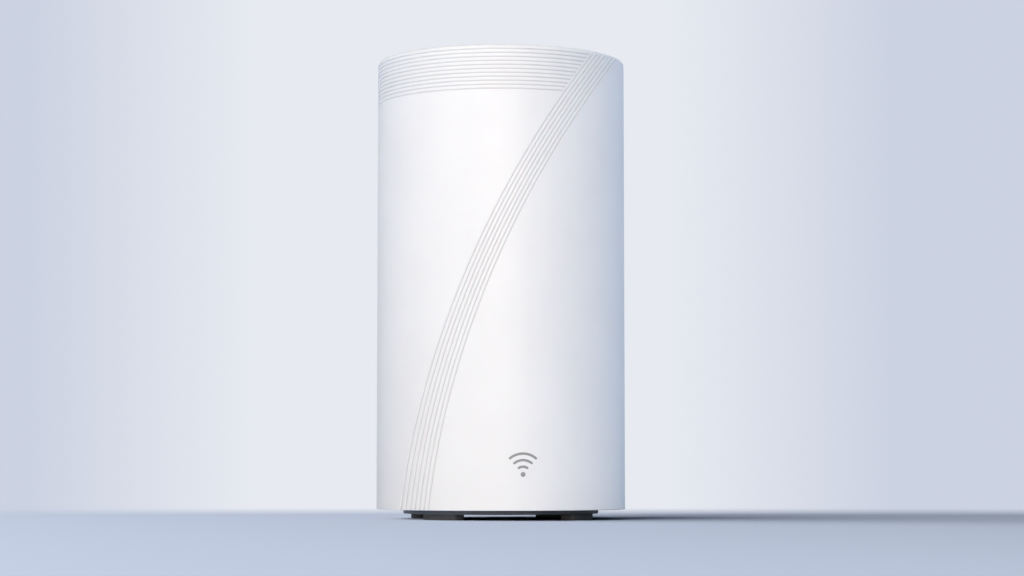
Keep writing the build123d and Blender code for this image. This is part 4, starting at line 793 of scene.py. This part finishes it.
def backdrop(kit):
    """The background's colour: brightest behind the object, falling off to both sides."""
    window = kit.node("ShaderNodeTexCoord").outputs["Window"]
    across = kit.node("ShaderNodeSeparateXYZ", {"Vector": window}).outputs["X"]
    aside = kit.node("ShaderNodeMath", {0: across, 1: BACKDROP_MIDDLE}, operation="SUBTRACT")
    away = kit.node("ShaderNodeMath", {0: aside.outputs["Value"]}, operation="ABSOLUTE")
    share = kit.carry(away.outputs["Value"], BACKDROP_PLAIN, BACKDROP_EDGE, 0.0, 1.0)
    return kit.blend(share, BACKDROP_NEAR, BACKDROP_FAR)


class Sky(Finish):
    """The same short ways of adding nodes, for the world."""

    def __init__(self, name):
        self.world = bpy.data.worlds.new(name)
        self.world.use_nodes = True
        self.tree = self.world.node_tree
        self.tree.nodes.clear()
        self.where = self.node("ShaderNodeTexCoord").outputs["Generated"]


def build_world():
    """A plain background for the camera, and soft light that differs with direction."""
    sky = Sky("studio")
    ambient = (0, 0, 0)
    sources = (
        (AMBIENT_BACK, (-math.sin(VIEW_AZIMUTH), math.cos(VIEW_AZIMUTH), 0)),
        (AMBIENT_RIGHT, (math.cos(VIEW_AZIMUTH), math.sin(VIEW_AZIMUTH), 0)),
        (AMBIENT_TOP, (0, 0, 1)),
    )
    for colour, direction in sources:
        facing = sky.node("ShaderNodeVectorMath", {0: sky.where, 1: direction}, operation="DOT_PRODUCT")
        share = sky.carry(facing.outputs["Value"], 0, 1, 0, 1)
        glow = sky.node("ShaderNodeVectorMath", {0: colour, "Scale": share}, operation="SCALE")
        glow = glow.outputs["Vector"]
        total = sky.node("ShaderNodeVectorMath", {0: ambient, 1: glow}, operation="ADD")
        ambient = total.outputs["Vector"]
    seen = sky.node("ShaderNodeLightPath").outputs["Is Camera Ray"]
    light = sky.node("ShaderNodeBackground", {"Color": sky.blend(seen, ambient, backdrop(sky))})
    end = sky.node("ShaderNodeOutputWorld")
    sky.put(end.inputs["Surface"], light.outputs["Background"])
    bpy.context.scene.world = sky.world


def build_floor():
    """A large plain floor that fades into the background towards the horizon, and that isn't seen
    from below."""
    half = FLOOR_SIZE / 2
    verts = [(-half, -half, 0), (half, -half, 0), (half, half, 0), (-half, half, 0)]
    floor = new_object("floor", verts, [(0, 1, 2, 3)])
    f = Finish("floor_paint", FLOOR_COLOUR)
    f.shade(Roughness=f.carry(f.noise(0.2, detail=2), 0.3, 0.7, 0.38, 0.46), Specular_IOR_Level=0.0)
    sight = f.node("ShaderNodeNewGeometry")
    slope = f.node("ShaderNodeSeparateXYZ", {"Vector": sight.outputs["Incoming"]}).outputs["Z"]
    seen = f.node("ShaderNodeLightPath").outputs["Is Camera Ray"]
    haze = f.times(seen, f.carry(slope, HAZE_END, HAZE_START, 1.0, 0.0))
    near = f.shader.outputs["BSDF"]
    far = f.node("ShaderNodeEmission", {"Color": backdrop(f)}).outputs["Emission"]
    mixed = f.node("ShaderNodeMixShader", {0: haze, 1: near, 2: far}).outputs["Shader"]
    clear = f.node("ShaderNodeBsdfTransparent").outputs["BSDF"]
    below = sight.outputs["Backfacing"]
    one_sided = f.node("ShaderNodeMixShader", {0: below, 1: mixed, 2: clear})
    f.put(f.tree.nodes["Material Output"].inputs["Surface"], one_sided.outputs["Shader"])
    dress(floor, f.material)
    return floor


def soft_light(name, floor, azimuth, elevation, size, power, colour, distance=2.2, floor_only=False):
    """A softbox of this width and height that faces the middle of the object. It lights the floor
    alone or everything but the floor; whatever stands in its way casts a shadow."""
    middle = Vector((0, 0, (cad_low.z + cad_high.z) / 2))
    a, e = math.radians(azimuth), math.radians(elevation)
    towards = Vector((math.sin(a) * math.cos(e), -math.cos(a) * math.cos(e), math.sin(e)))
    data = bpy.data.lights.new(name, "AREA")
    data.shape = "RECTANGLE"
    data.size, data.size_y = size
    data.energy = power
    data.color = colour
    lamp = bpy.data.objects.new(name, data)
    lamp.location = middle + towards * distance
    lamp.rotation_euler = towards.to_track_quat("Z", "Y").to_euler()
    lamp.visible_camera = False
    bpy.context.scene.collection.objects.link(lamp)
    linked = bpy.data.collections.new(name + "_light")
    linked.objects.link(floor)
    linked.collection_objects[0].light_linking.link_state = "INCLUDE" if floor_only else "EXCLUDE"
    lamp.light_linking.receiver_collection = linked


def build_camera():
    data = bpy.data.cameras.new("camera")
    data.lens = LENS
    camera = bpy.data.objects.new("camera", data)
    camera.location = (
        VIEW_DISTANCE * math.sin(VIEW_AZIMUTH), -VIEW_DISTANCE * math.cos(VIEW_AZIMUTH), VIEW_HEIGHT,
    )
    camera.rotation_euler = (VIEW_PITCH, 0, VIEW_HEADING)
    bpy.context.scene.collection.objects.link(camera)
    bpy.context.scene.camera = camera


build_world()
ground = build_floor()
soft_light(
    "key", ground, azimuth=-10, elevation=10, size=(1.4, 1.4), power=31.9, colour=(1, 0.846, 0.676),
)
soft_light(
    "fill", ground, azimuth=-55, elevation=10, size=(1.4, 1.4), power=12.6, colour=(0.983, 1, 0.949),
)
soft_light(
    "low", ground, azimuth=-80, elevation=15, size=(8.0, 1.0), power=2650, colour=(1, 0.946, 0.945),
    distance=3.2, floor_only=True,
)
build_camera()
bpy.context.scene.view_settings.view_transform = "Standard"
